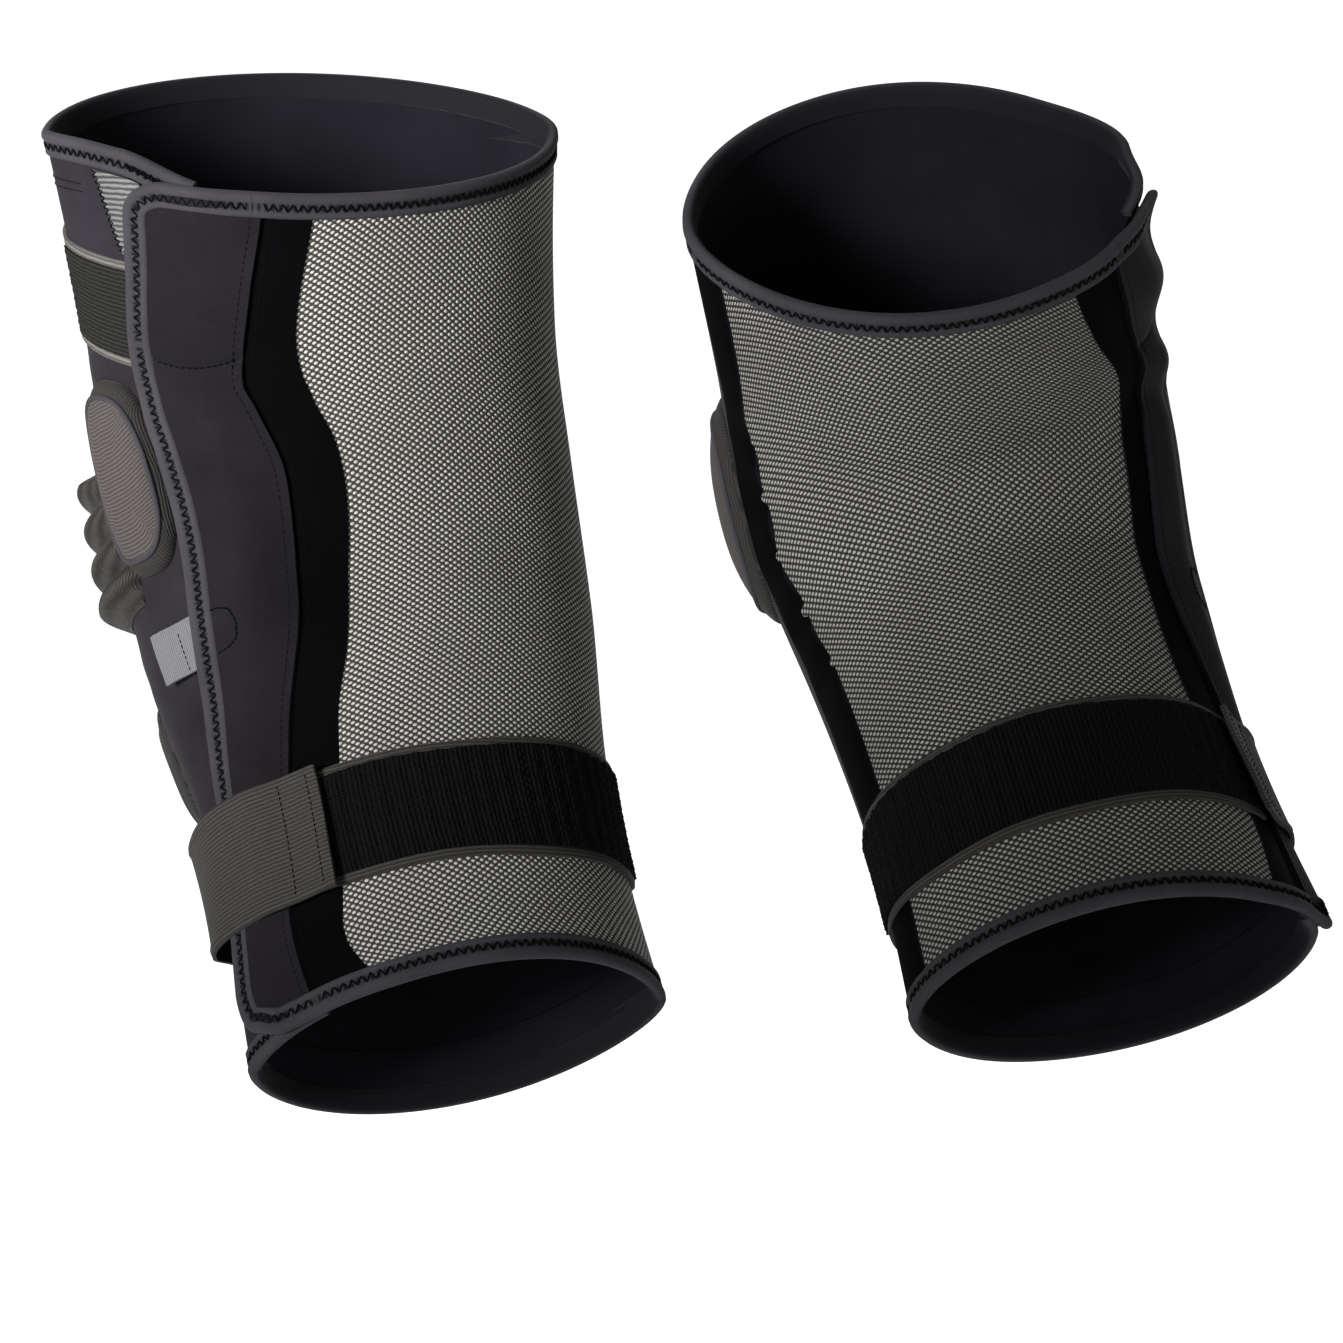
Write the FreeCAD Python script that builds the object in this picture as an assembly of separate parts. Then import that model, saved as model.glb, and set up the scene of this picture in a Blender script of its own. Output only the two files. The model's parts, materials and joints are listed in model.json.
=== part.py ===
"""A pair of soft knee guards, built in millimetres.

Each guard is a padded sleeve cut pre-bent at the knee. Its back is open mesh, its front is neoprene with foam
pads, and it opens on the outer side under a wrap flap. A calf strap goes round the back and its end comes
round the front, over the flap. The guards stand as they are worn: +Y is the way the knees point, +X is the
wearer's right and +Z is up. The origin is midway between the two knee centres.

A point of a guard is named by three numbers: t, the distance along the sleeve's centre line from the knee
(up the thigh is positive); psi, the angle round the sleeve from the back towards the outer side; and off,
the distance outwards from the sleeve's inner face.
"""
import FreeCAD, Part
import math
import os

# ---- driving dimensions, millimetres and degrees ----
KNEE_SPACING = 239.0            # between the two knee centres
KNEE_STEP = 3.0                 # the left knee centre is this much higher
BEND_LENGTH = 120.0             # stretch of the sleeve that holds the knee bend
STATIONS = [-225.0, -140.0, -60.0, 0.0, 70.0, 150.0]

GUARDS = {
    "left": dict(
        side=-1, yaw=15.0, lean=-8.0, thigh_tilt=16.0, calf_tilt=24.0, turn=-14.0,
        half_width=[76.0, 74.0, 85.0, 88.0, 89.0, 97.0],
        half_depth=[52.0, 56.0, 60.0, 62.0, 63.0, 63.0],
        top=(141.0, -16.0, 8.0), bottom=(-225.0, 8.0, -1.0),
        mesh_line=[(-225, 36), (-199, 48), (-179, 47), (-116, 38), (-86, 30), (-52, 25), (-12, 22.5), (20, 23.5),
                   (46, 27.5), (74, 30), (120, 23), (150, 20)],
        seam_line=[(-225, 60), (-180, 62), (-119, 51), (-75, 39), (-48, 36), (-12, 34.5), (12, 35), (43, 39.5),
                   (60, 42), (90, 38), (123, 32.5), (150, 31)],
        edge_line=[(-225, 90), (-208, 88), (-189, 86), (-160, 83), (-125, 78), (-90, 70), (-42, 64), (0, 64), (52, 69),
                   (73, 70), (114, 65), (150, 60)]),
    "right": dict(
        side=1, yaw=4.0, lean=-13.0, thigh_tilt=36.0, calf_tilt=36.0, turn=15.0,
        half_width=[73.0, 68.0, 72.0, 79.0, 80.0, 83.0],
        half_depth=[45.0, 52.0, 58.0, 64.0, 68.0, 73.0],
        top=(131.0, -9.0, -6.0), bottom=(-217.0, 2.0, -2.0),
        mesh_line=[(-225, 38), (-180, 46), (-126, 36), (-76, 34), (-41, 34), (14, 33), (60, 35), (85, 25.5),
                   (112, 18.5), (150, 17)],
        seam_line=[(-225, 60), (-180, 62), (-130, 55), (-76, 43), (-41, 43), (14, 43), (60, 45), (85, 39),
                   (112, 33), (150, 31)],
        edge_line=[(-225, 90), (-208, 88), (-189, 86), (-160, 83), (-125, 78), (-90, 72), (-42, 68), (0, 68), (52, 70),
                   (73, 70), (114, 65), (150, 60)]),
}

# panel lines, degrees; those in GUARDS are psi at a height t
MEDIAL_SEAM = -97.0             # where the mesh meets the front panel on the inner side
LATERAL_JOIN = 64.0             # where the outer band meets the front panel, under the flap
FRONT_END = 360.0 + MEDIAL_SEAM - 1.0

# cloth thicknesses and the stack of layers, as distances from the inner face
PANEL = 2.5                     # neoprene or spacer mesh
CLOSE = 0.2                     # between two layers sewn or stuck to each other
CLOTH = 2.5                     # flap
STRAP = 1.6                     # elastic of the calf strap
THIN_STRAP = 0.8                # elastic of the thigh strap
PILE = 1.0                      # loop pile
HOOK = 0.8
RIB_TAPE = 0.6
TAB = 0.9
FLAP_LIFT = 5.8                 # inner face of the closed flap
FLAP_RISE = 14.0                # degrees over which the flap climbs to that from its seam

# bound hems: the tape wraps the edge inside and out
BINDING = 9.0                   # width
EDGE_BINDING = 5.0              # width on the flap's front edge, degrees
WRAP_IN, WRAP_OUT = 0.6, 0.8    # stands proud of the inner face, and of the outer one
FLAP_WRAP = 0.4                 # stands proud of the flap
BACK_HEM_END = 31.0             # where the rear top hem meets the flap, degrees
LOWER_HEM_GAP = (58.0, 80.0)    # the bottom hem leaves this to the flap's own binding

# the knee joint and the free stretch between its two halves
AXIS_BACK = 15.0                # the knee hinge lies this far behind the centre line
AXIS_UP = 10.0                  # and this far above the knee centre
CALF_TOP = (20.0, -30.0)        # top of the calf half: mean, and cosine part (lower at the back)
THIGH_BOTTOM = (70.0, -14.0)    # bottom of the thigh half
JOIN_GAP = 0.6                  # between the bending stretch and each half, and above the flap's hem
SEAM_GAP = 0.35                 # between two panels sewn edge to edge, degrees

# the calf strap: an elastic round the back with loop pile, and an end that peels
CALF_STRAP = (-178.0, -133.0)   # t
CALF_BAND = (-130.0, 54.0)      # psi
CALF_LOOP = (-112.0, 53.0)
LOOP_INSET = 3.0                # bare elastic along each side of the pile
CALF_STRAP_ROOT_END = 150.0
CALF_STRAP_HINGE = 127.0
CALF_STRAP_FREE_END = 45.0
CALF_HOOK = (46.0, 53.0)
HOOK_INSET = 4.0
STRAP_OFFS = (6.6, 9.3, PANEL + 0.9)   # the strap end's inner face on the pile, over the flap, on the panel
STRAP_CLIMBS = (55.0, 110.0)    # where it starts up on to the flap, and down again
STRAP_CLIMB = 14.0              # degrees that each takes

# the thigh strap, and the ribbed strip above it
THIGH_STRAP = (61.0, 190.0)     # psi
THIGH_LOOP = (63.0, 102.0)
THIGH_STRAP_RAISE = 2.0         # above the bottom of the thigh half
THIGH_STRAP_WIDTH = 40.0
RIB_STRIP = (62.0, 76.0)
RIB_GAP = (4.0, 1.0)            # from the strap below and the hem above

# the flap's corner
UPPER_FLAP_START = 46.0         # psi at which the peeling corner starts
CORNER_TRIM_START = 40.0
CORNER_HOOK = ((57.0, 63.0), (98.0, 111.0))
PEEL_SEAM, PEEL_EDGE = 33.0, 70.0      # the peel line runs from here at the top edge
PEEL_FRONT = 80.0               # to this height at the flap's front edge
PEEL_GAP = 0.5                  # each side of that line
FRONT_RISE = 8.0                # the front panel's top edge stands this much above the flap's
FRONT_RISE_END = (70.0, 50.0)   # that dies away from here, over this many degrees
CORNER_RISE = 15.0              # the flap's lower corner is cut back this much
CORNER_RISE_START = (68.0, 24.0)       # from here, over this many degrees
FLAP_HEM_START = 60.0           # psi at which the flap's own bottom hem starts

# pads: psi range, t range, wall height and crown; the outer pad's psi counts from the flap's front edge
PAD_SEAT = PANEL + 0.3
PADS = {
    "knee_cup": ((136, 214), (-48, 44), 6.0, 8.0),
    "lateral_side_pad": ((3, 34), (-24, 54), 4.0, 6.0),
    "medial_side_pad": ((222, 258), (-24, 50), 4.0, 6.0),
    "shin_pad": ((120, 230), (-122, -58), 3.0, 6.0),
}
PULL_TAB = ((61, 83), (-78, -58))
TAB_CLOSE = 0.6                 # under the flap

# density of the surface grids
ROW_STEP, COLUMN_STEP = 11.0, 8.0      # millimetres along t, degrees along psi
LEAST_GRID = 5
PAD_GRID = 13
STRAP_GRID = 25
PLACE_PASSES = 6                # t and psi depend on each other, so a place is settled in a few passes

FORWARD = 1                     # both edges of a ruled face run the same way


def smooth(x):
    """0 below 0, 1 above 1, and an S-curve between."""
    x = min(max(x, 0.0), 1.0)
    return x * x * (3.0 - 2.0 * x)


def curve_through(points, t):
    """Value at t of a smooth curve through the (place, value) points: cubic spans that share their slopes."""
    last = len(points) - 1

    def slope(i):
        before, after = points[max(i - 1, 0)], points[min(i + 1, last)]
        return (after[1] - before[1]) / (after[0] - before[0])

    i = 0
    while i < last - 1 and t > points[i + 1][0]:
        i += 1
    (t0, v0), (t1, v1) = points[i], points[i + 1]
    span = t1 - t0
    s = (t - t0) / span
    return ((2 * s ** 3 - 3 * s ** 2 + 1) * v0 + (s ** 3 - 2 * s ** 2 + s) * span * slope(i)
            + (3 * s ** 2 - 2 * s ** 3) * v1 + (s ** 3 - s ** 2) * span * slope(i + 1))


class Guard:
    """The shape of one guard, and the panel lines on it."""

    def __init__(self, name):
        self.__dict__.update(GUARDS[name])
        self.name = name
        self.centre = FreeCAD.Vector(self.side * KNEE_SPACING / 2, 0, -self.side * KNEE_STEP / 2)
        turn_up = FreeCAD.Rotation(FreeCAD.Vector(0, 0, 1), self.yaw)
        self.rotation = FreeCAD.Rotation(FreeCAD.Vector(0, 1, 0), self.lean) * turn_up

    def centre_line(self, t):
        """Height and depth of the centre line at t and its tilt: two straight runs joined by an arc."""
        total = math.radians(self.thigh_tilt + self.calf_tilt)
        radius = BEND_LENGTH / total
        half = BEND_LENGTH / 2
        inside = min(max(t, -half), half)
        start = (math.radians(self.thigh_tilt) - math.radians(self.calf_tilt)) / 2
        tilt = start + inside / radius
        y = radius * (math.cos(tilt) - math.cos(start)) - (t - inside) * math.sin(tilt)
        z = radius * (math.sin(tilt) - math.sin(start)) + (t - inside) * math.cos(tilt)
        return y, z, tilt

    def to_world(self, local):
        return self.rotation.multVec(local) + self.centre

    def point(self, t, psi, off):
        """The sleeve's section is an ellipse square to the centre line, grown outwards by off."""
        phi = math.radians(psi + self.turn)
        wide = curve_through(list(zip(STATIONS, self.half_width)), t) + off
        deep = curve_through(list(zip(STATIONS, self.half_depth)), t) + off
        y, z, tilt = self.centre_line(t)
        forward = -deep * math.cos(phi)
        local = FreeCAD.Vector(self.side * wide * math.sin(phi), y + forward * math.cos(tilt),
                               z + forward * math.sin(tilt))
        return self.to_world(local)

    def ring(self, wave, psi):
        """A height that varies round the sleeve: mean, cosine part and, if given, sine part."""
        phi = math.radians(psi + self.turn)
        sine = wave[2] if len(wave) > 2 else 0.0
        return wave[0] + wave[1] * math.cos(phi) + sine * math.sin(phi)

    def top_edge(self, psi):
        return self.ring(self.top, psi)

    def front_top_edge(self, psi):
        """The front panel stands a little higher than the flap beside it."""
        start, span = FRONT_RISE_END
        return self.top_edge(psi) + FRONT_RISE * (1.0 - smooth((psi - start) / span))

    def bottom_edge(self, psi):
        return self.ring(self.bottom, psi)

    def flap_bottom(self, psi):
        """The flap's lower front corner is rounded off."""
        start, span = CORNER_RISE_START
        return self.bottom_edge(psi) + CORNER_RISE * smooth((psi - start) / span)

    def calf_top(self, psi):
        return self.ring(CALF_TOP, psi)

    def thigh_bottom(self, psi):
        return self.ring(THIGH_BOTTOM, psi)

    def mesh_edge(self, t):
        return curve_through(self.mesh_line, t)

    def flap_seam(self, t):
        return curve_through(self.seam_line, t)

    def flap_edge(self, t):
        return curve_through(self.edge_line, t)

    def flap_cloth_end(self, t):
        return self.flap_edge(t) - EDGE_BINDING

    def flap_lift(self, t, psi):
        """The flap is sewn down at its seam and rides over the hooks and loops beyond it."""
        low = PANEL + CLOSE
        return low + (FLAP_LIFT - low) * smooth((psi - self.flap_seam(t)) / FLAP_RISE)

    def flap_top(self, t, psi):
        return self.flap_lift(t, psi) + CLOTH

    def flap_proud(self, t, psi):
        """The outer face of the flap's binding."""
        return self.flap_top(t, psi) + FLAP_WRAP

    def peel_line(self, psi):
        """The flap's corner peels on a straight line from the seam's top to the front edge."""
        high = self.top_edge(PEEL_SEAM)
        return high + (PEEL_FRONT - high) * (psi - PEEL_SEAM) / (PEEL_EDGE - PEEL_SEAM)


def strap_lift(t, psi):
    """The strap end lies on the loop pile, climbs over the flap and comes down to the front panel."""
    on_pile, on_flap, on_panel = STRAP_OFFS
    up, down = STRAP_CLIMBS
    return (on_pile + (on_flap - on_pile) * smooth((psi - up) / STRAP_CLIMB)
            - (on_flap - on_panel) * smooth((psi - down) / STRAP_CLIMB))


def value(thing, *args):
    """thing itself if it is a number, or its value if it is a function."""
    return thing(*args) if callable(thing) else float(thing)


def patch(guard, psi_range, t_range, low, high, crown=0.0, least=LEAST_GRID):
    """A closed solid over a stretch of the sleeve, from off = low to off = high.

    psi_range is a pair of numbers or functions of t, and t_range a pair of numbers or functions of psi.
    crown swells the outer face into a low dome that is flat-topped and dies away at the border.
    """
    start = (value(t_range[0], LATERAL_JOIN) + value(t_range[1], LATERAL_JOIN)) / 2
    span_t = value(t_range[1], LATERAL_JOIN) - value(t_range[0], LATERAL_JOIN)
    span_psi = value(psi_range[1], start) - value(psi_range[0], start)
    rows = max(least, round(span_t / ROW_STEP) + 1)
    columns = max(least, round(span_psi / COLUMN_STEP) + 1)

    def place(u, v):
        t = start
        for _ in range(PLACE_PASSES):
            first, second = value(psi_range[0], t), value(psi_range[1], t)
            psi = first + (second - first) * v
            bottom, top = value(t_range[0], psi), value(t_range[1], psi)
            t = bottom + (top - bottom) * u
        return t, psi

    faces = []
    skins = []
    for layer in (high, low):
        grid = []
        for i in range(rows):
            line = []
            for j in range(columns):
                u, v = i / (rows - 1), j / (columns - 1)
                t, psi = place(u, v)
                off = value(layer, t, psi)
                if layer is high:
                    off += crown * (1 - (2 * u - 1) ** 4) * (1 - (2 * v - 1) ** 4)
                line.append(guard.point(t, psi, off))
            grid.append(line)
        skin = Part.BSplineSurface()
        skin.interpolate(grid)
        skins.append(skin)
        faces.append(skin.toShape())
    outer, inner = skins
    for iso in ("uIso", "vIso"):
        for end in (0.0, 1.0):
            pair = [getattr(skin, iso)(end).toShape() for skin in (outer, inner)]
            faces.append(Part.makeRuledSurface(*pair, FORWARD))
    shell = Part.makeShell(faces)
    shell.sewShape()
    solid = Part.makeSolid(shell)
    if solid.Volume < 0:
        solid.reverse()
    return solid


def after(edge):
    """An edge moved on by the gap of a seam."""
    return lambda t: value(edge, t) + SEAM_GAP


def thigh_nodes(g):
    """Everything that moves with the thigh half."""
    top_hem = lambda psi: g.top_edge(psi) - BINDING
    front_hem = lambda psi: g.front_top_edge(psi) - BINDING
    strap_low = lambda psi: g.thigh_bottom(psi) + THIGH_STRAP_RAISE
    strap_high = lambda psi: strap_low(psi) + THIGH_STRAP_WIDTH
    strap_off = PANEL + CLOSE
    pile_off = strap_off + THIN_STRAP + CLOSE
    peel_low = lambda psi: g.peel_line(psi) - PEEL_GAP
    yield "thigh_mesh_panel", [patch(g, (MEDIAL_SEAM, g.mesh_edge), (g.thigh_bottom, top_hem), 0, PANEL)]
    yield "thigh_lateral_band", [patch(g, (after(g.mesh_edge), LATERAL_JOIN), (g.thigh_bottom, top_hem), 0, PANEL)]
    yield "thigh_front_panel", [patch(g, (after(LATERAL_JOIN), FRONT_END), (g.thigh_bottom, front_hem), 0, PANEL)]
    yield "thigh_top_binding", [
        patch(g, (MEDIAL_SEAM, BACK_HEM_END), (top_hem, g.top_edge), -WRAP_IN, PANEL + WRAP_OUT),
        patch(g, (LATERAL_JOIN, FRONT_END), (front_hem, g.front_top_edge), -WRAP_IN, PANEL + WRAP_OUT)]
    yield "thigh_strap", [patch(g, THIGH_STRAP, (strap_low, strap_high), strap_off, strap_off + THIN_STRAP)]
    loop_range = (lambda psi: strap_low(psi) + LOOP_INSET, lambda psi: strap_high(psi) - LOOP_INSET)
    yield "thigh_strap_loop", [patch(g, THIGH_LOOP, loop_range, pile_off, pile_off + PILE)]
    rib_range = (lambda psi: strap_high(psi) + RIB_GAP[0], lambda psi: front_hem(psi) - RIB_GAP[1])
    yield "thigh_rib_strip", [patch(g, RIB_STRIP, rib_range, strap_off, strap_off + RIB_TAPE)]
    yield "flap_base", [patch(g, (g.flap_seam, g.flap_cloth_end), (g.thigh_bottom, peel_low), g.flap_lift, g.flap_top)]


def flap_nodes(g):
    """The corner of the flap that peels open first."""
    peel_high = lambda psi: g.peel_line(psi) + PEEL_GAP
    hem = lambda psi: g.top_edge(psi) - BINDING / 2
    trim_start = after(g.flap_cloth_end)
    yield "upper_flap", [patch(g, (UPPER_FLAP_START, g.flap_cloth_end), (peel_high, hem), g.flap_lift, g.flap_top)]
    yield "upper_flap_binding", [
        patch(g, (trim_start, g.flap_edge), (peel_high, g.top_edge), g.flap_lift, g.flap_proud),
        patch(g, (CORNER_TRIM_START, g.flap_cloth_end), (hem, g.top_edge), g.flap_lift, g.flap_proud)]
    yield "upper_flap_hook", [patch(g, *CORNER_HOOK, FLAP_LIFT - HOOK - CLOSE, FLAP_LIFT - CLOSE)]


def calf_nodes(g):
    """Everything that stays with the calf half."""
    hem = lambda psi: g.bottom_edge(psi) + BINDING
    strap_off = PANEL + CLOSE
    pile_off = strap_off + STRAP + CLOSE
    back_end, front_start = LOWER_HEM_GAP
    yield "calf_mesh_panel", [patch(g, (MEDIAL_SEAM, g.mesh_edge), (hem, g.calf_top), 0, PANEL)]
    yield "calf_lateral_band", [patch(g, (after(g.mesh_edge), LATERAL_JOIN), (hem, g.calf_top), 0, PANEL)]
    yield "calf_front_panel", [patch(g, (after(LATERAL_JOIN), FRONT_END), (hem, g.calf_top), 0, PANEL)]
    yield "calf_hem_binding", [
        patch(g, (MEDIAL_SEAM, back_end), (g.bottom_edge, hem), -WRAP_IN, PANEL + WRAP_OUT),
        patch(g, (front_start, FRONT_END), (g.bottom_edge, hem), -WRAP_IN, PANEL + WRAP_OUT)]
    flap_hem = lambda psi: g.flap_bottom(psi) + BINDING
    yield "lower_flap", [patch(g, (g.flap_seam, g.flap_cloth_end), (lambda psi: flap_hem(psi) + JOIN_GAP, g.calf_top),
                              g.flap_lift, g.flap_top)]
    yield "lower_flap_binding", [
        patch(g, (after(after(g.flap_cloth_end)), g.flap_edge), (g.flap_bottom, g.calf_top), g.flap_lift,
              g.flap_proud),
        patch(g, (FLAP_HEM_START, g.flap_cloth_end), (g.flap_bottom, flap_hem), g.flap_lift, g.flap_proud)]
    yield "calf_strap_band", [patch(g, CALF_BAND, CALF_STRAP, strap_off, strap_off + STRAP)]
    yield "calf_strap_loop", [patch(g, CALF_LOOP, (CALF_STRAP[0] + LOOP_INSET, CALF_STRAP[1] - LOOP_INSET), pile_off,
                                    pile_off + PILE)]
    yield "calf_strap_root", [patch(g, (CALF_STRAP_HINGE + 1, CALF_STRAP_ROOT_END), CALF_STRAP, strap_off,
                                    strap_off + STRAP)]
    for name, (psi_range, t_range, wall, crown) in PADS.items():
        if name == "lateral_side_pad":
            near, far = psi_range
            psi_range = (lambda t: g.flap_edge(t) + near, lambda t: g.flap_edge(t) + far)
        yield name, [patch(g, psi_range, t_range, PAD_SEAT, PAD_SEAT + wall, crown=crown, least=PAD_GRID)]
    yield "pull_tab", [patch(g, *PULL_TAB, FLAP_LIFT - TAB_CLOSE - TAB, FLAP_LIFT - TAB_CLOSE)]


def strap_nodes(g):
    """The strap end that peels off the loop pile."""
    strap_top = lambda t, psi: strap_lift(t, psi) + STRAP
    hook_low = lambda t, psi: strap_lift(t, psi) - HOOK - CLOSE
    hook_high = lambda t, psi: strap_lift(t, psi) - CLOSE
    yield "strap_end", [patch(g, (CALF_STRAP_FREE_END, CALF_STRAP_HINGE), CALF_STRAP, strap_lift, strap_top,
                              least=STRAP_GRID)]
    yield "strap_end_hook", [patch(g, CALF_HOOK, (CALF_STRAP[0] + HOOK_INSET, CALF_STRAP[1] - HOOK_INSET), hook_low,
                                   hook_high)]


def gusset_nodes(g):
    """The stretch that changes shape as the knee bends."""
    low = lambda psi: g.calf_top(psi) + JOIN_GAP
    high = lambda psi: g.thigh_bottom(psi) - JOIN_GAP
    yield "knee_rear_gusset", [patch(g, (MEDIAL_SEAM, LATERAL_JOIN), (low, high), 0, PANEL)]
    yield "knee_front_gusset", [patch(g, (after(LATERAL_JOIN), FRONT_END), (low, high), 0, PANEL)]
    yield "knee_flap_span", [patch(g, (g.flap_seam, g.flap_edge), (low, high), g.flap_lift, g.flap_top)]


def print_axes(g):
    """The joint axes and knee points of one guard, in metres, for the record."""
    def show(label, vector, scale=0.001):
        print("AXIS", g.name, label, *[round(c * scale, 6) for c in vector])

    show("knee_point", g.to_world(FreeCAD.Vector(0, -AXIS_BACK, AXIS_UP)))
    show("knee_axis", g.rotation.multVec(FreeCAD.Vector(1, 0, 0)), 1.0)
    start = g.point(g.peel_line(40), 40, FLAP_LIFT + CLOTH)
    end = g.point(g.peel_line(PEEL_EDGE), PEEL_EDGE, FLAP_LIFT + CLOTH)
    middle = g.point(g.peel_line(55), 55, FLAP_LIFT + CLOTH + 0.6)
    show("flap_point", middle)
    show("flap_axis", (end - start).normalize(), 1.0)
    strap_low = g.point(CALF_STRAP[0], CALF_STRAP_HINGE, PANEL + STRAP + 0.8)
    strap_high = g.point(CALF_STRAP[1], CALF_STRAP_HINGE, PANEL + STRAP + 0.8)
    show("strap_point", (strap_low + strap_high) * 0.5)
    show("strap_axis", (strap_high - strap_low).normalize(), 1.0)
    for t in (-225, -180, -140, -100, -60, -30, 0, 30, 60, 100, 140):
        y, z, _ = g.centre_line(t)
        show("centre_%d" % t, g.to_world(FreeCAD.Vector(0, y, z)))


os.makedirs("parts", exist_ok=True)
for guard_name in GUARDS:
    guard = Guard(guard_name)
    for maker in (thigh_nodes, flap_nodes, calf_nodes, strap_nodes, gusset_nodes):
        for node, solids in maker(guard):
            shape = solids[0] if len(solids) == 1 else Part.makeCompound(solids)
            if not shape.isValid() or min(s.Volume for s in solids) <= 0:
                print("CHECK", guard_name, node)
            shape.exportStep("parts/%s_%s.step" % (guard_name, node))
    print_axes(guard)
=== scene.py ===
import json
import math

import bpy
import numpy as np
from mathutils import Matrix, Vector


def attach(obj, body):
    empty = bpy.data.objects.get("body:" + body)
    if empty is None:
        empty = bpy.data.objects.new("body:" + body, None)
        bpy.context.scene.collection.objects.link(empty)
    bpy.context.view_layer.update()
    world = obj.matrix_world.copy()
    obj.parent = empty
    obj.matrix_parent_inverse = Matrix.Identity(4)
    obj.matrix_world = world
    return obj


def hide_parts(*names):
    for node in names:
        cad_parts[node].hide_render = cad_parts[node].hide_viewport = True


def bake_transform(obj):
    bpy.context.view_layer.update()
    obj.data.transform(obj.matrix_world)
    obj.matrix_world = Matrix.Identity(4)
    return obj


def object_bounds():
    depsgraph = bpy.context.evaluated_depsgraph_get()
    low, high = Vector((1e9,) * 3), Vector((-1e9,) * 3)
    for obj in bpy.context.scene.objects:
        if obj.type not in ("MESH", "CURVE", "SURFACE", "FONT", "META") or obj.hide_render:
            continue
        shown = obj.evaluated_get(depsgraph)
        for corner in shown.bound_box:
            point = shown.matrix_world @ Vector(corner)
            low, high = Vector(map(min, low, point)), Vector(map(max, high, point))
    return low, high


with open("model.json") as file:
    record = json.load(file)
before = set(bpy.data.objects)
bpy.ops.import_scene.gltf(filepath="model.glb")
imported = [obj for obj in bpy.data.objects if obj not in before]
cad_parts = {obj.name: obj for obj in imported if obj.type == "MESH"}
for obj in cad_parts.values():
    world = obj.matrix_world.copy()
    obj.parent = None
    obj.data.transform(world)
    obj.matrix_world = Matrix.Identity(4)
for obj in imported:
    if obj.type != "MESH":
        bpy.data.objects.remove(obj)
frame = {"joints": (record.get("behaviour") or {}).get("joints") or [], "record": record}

# A pair of knee guards, seen as worn. The guards are made one piece after another: mesh back, outer band,
# front panel, flap, hems, seams, inner band, straps, tab, pads and gathers. Lengths are in millimetres until
# a mesh is made.
cad_box = [list(corner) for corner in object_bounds()]


# ---- Mesh back ------------------------------------------------------------------------------------------
# The whole back of each guard is one panel of spacer mesh, from hem to hem. Its outer net shows pale knots
# over a dark olive ground, and its inner face is the dark lining. It is cut narrow at the knee and sewn at
# both sides.

def through(points, where):
    """Value at `where` of a smooth curve through (place, value) points: cubic spans that share their slopes,
    each slope being that of the chord between the two neighbours."""
    place, level = np.array(points, float).T
    ahead = np.minimum(np.arange(len(place)) + 1, len(place) - 1)
    behind = np.maximum(np.arange(len(place)) - 1, 0)
    slope = (level[ahead] - level[behind]) / (place[ahead] - place[behind])
    where = np.asarray(where, float)
    i = np.clip(np.searchsorted(place, where) - 1, 0, len(place) - 2)
    span = place[i + 1] - place[i]
    s = (where - place[i]) / span
    return ((2 * s ** 3 - 3 * s ** 2 + 1) * level[i] + (s ** 3 - 2 * s ** 2 + s) * span * slope[i]
            + (3 * s ** 2 - 2 * s ** 3) * level[i + 1] + (s ** 3 - s ** 2) * span * slope[i + 1])


def smooth(x):
    """0 below 0, 1 above 1, and an S-curve between."""
    x = np.clip(x, 0, 1)
    return x * x * (3 - 2 * x)


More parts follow.
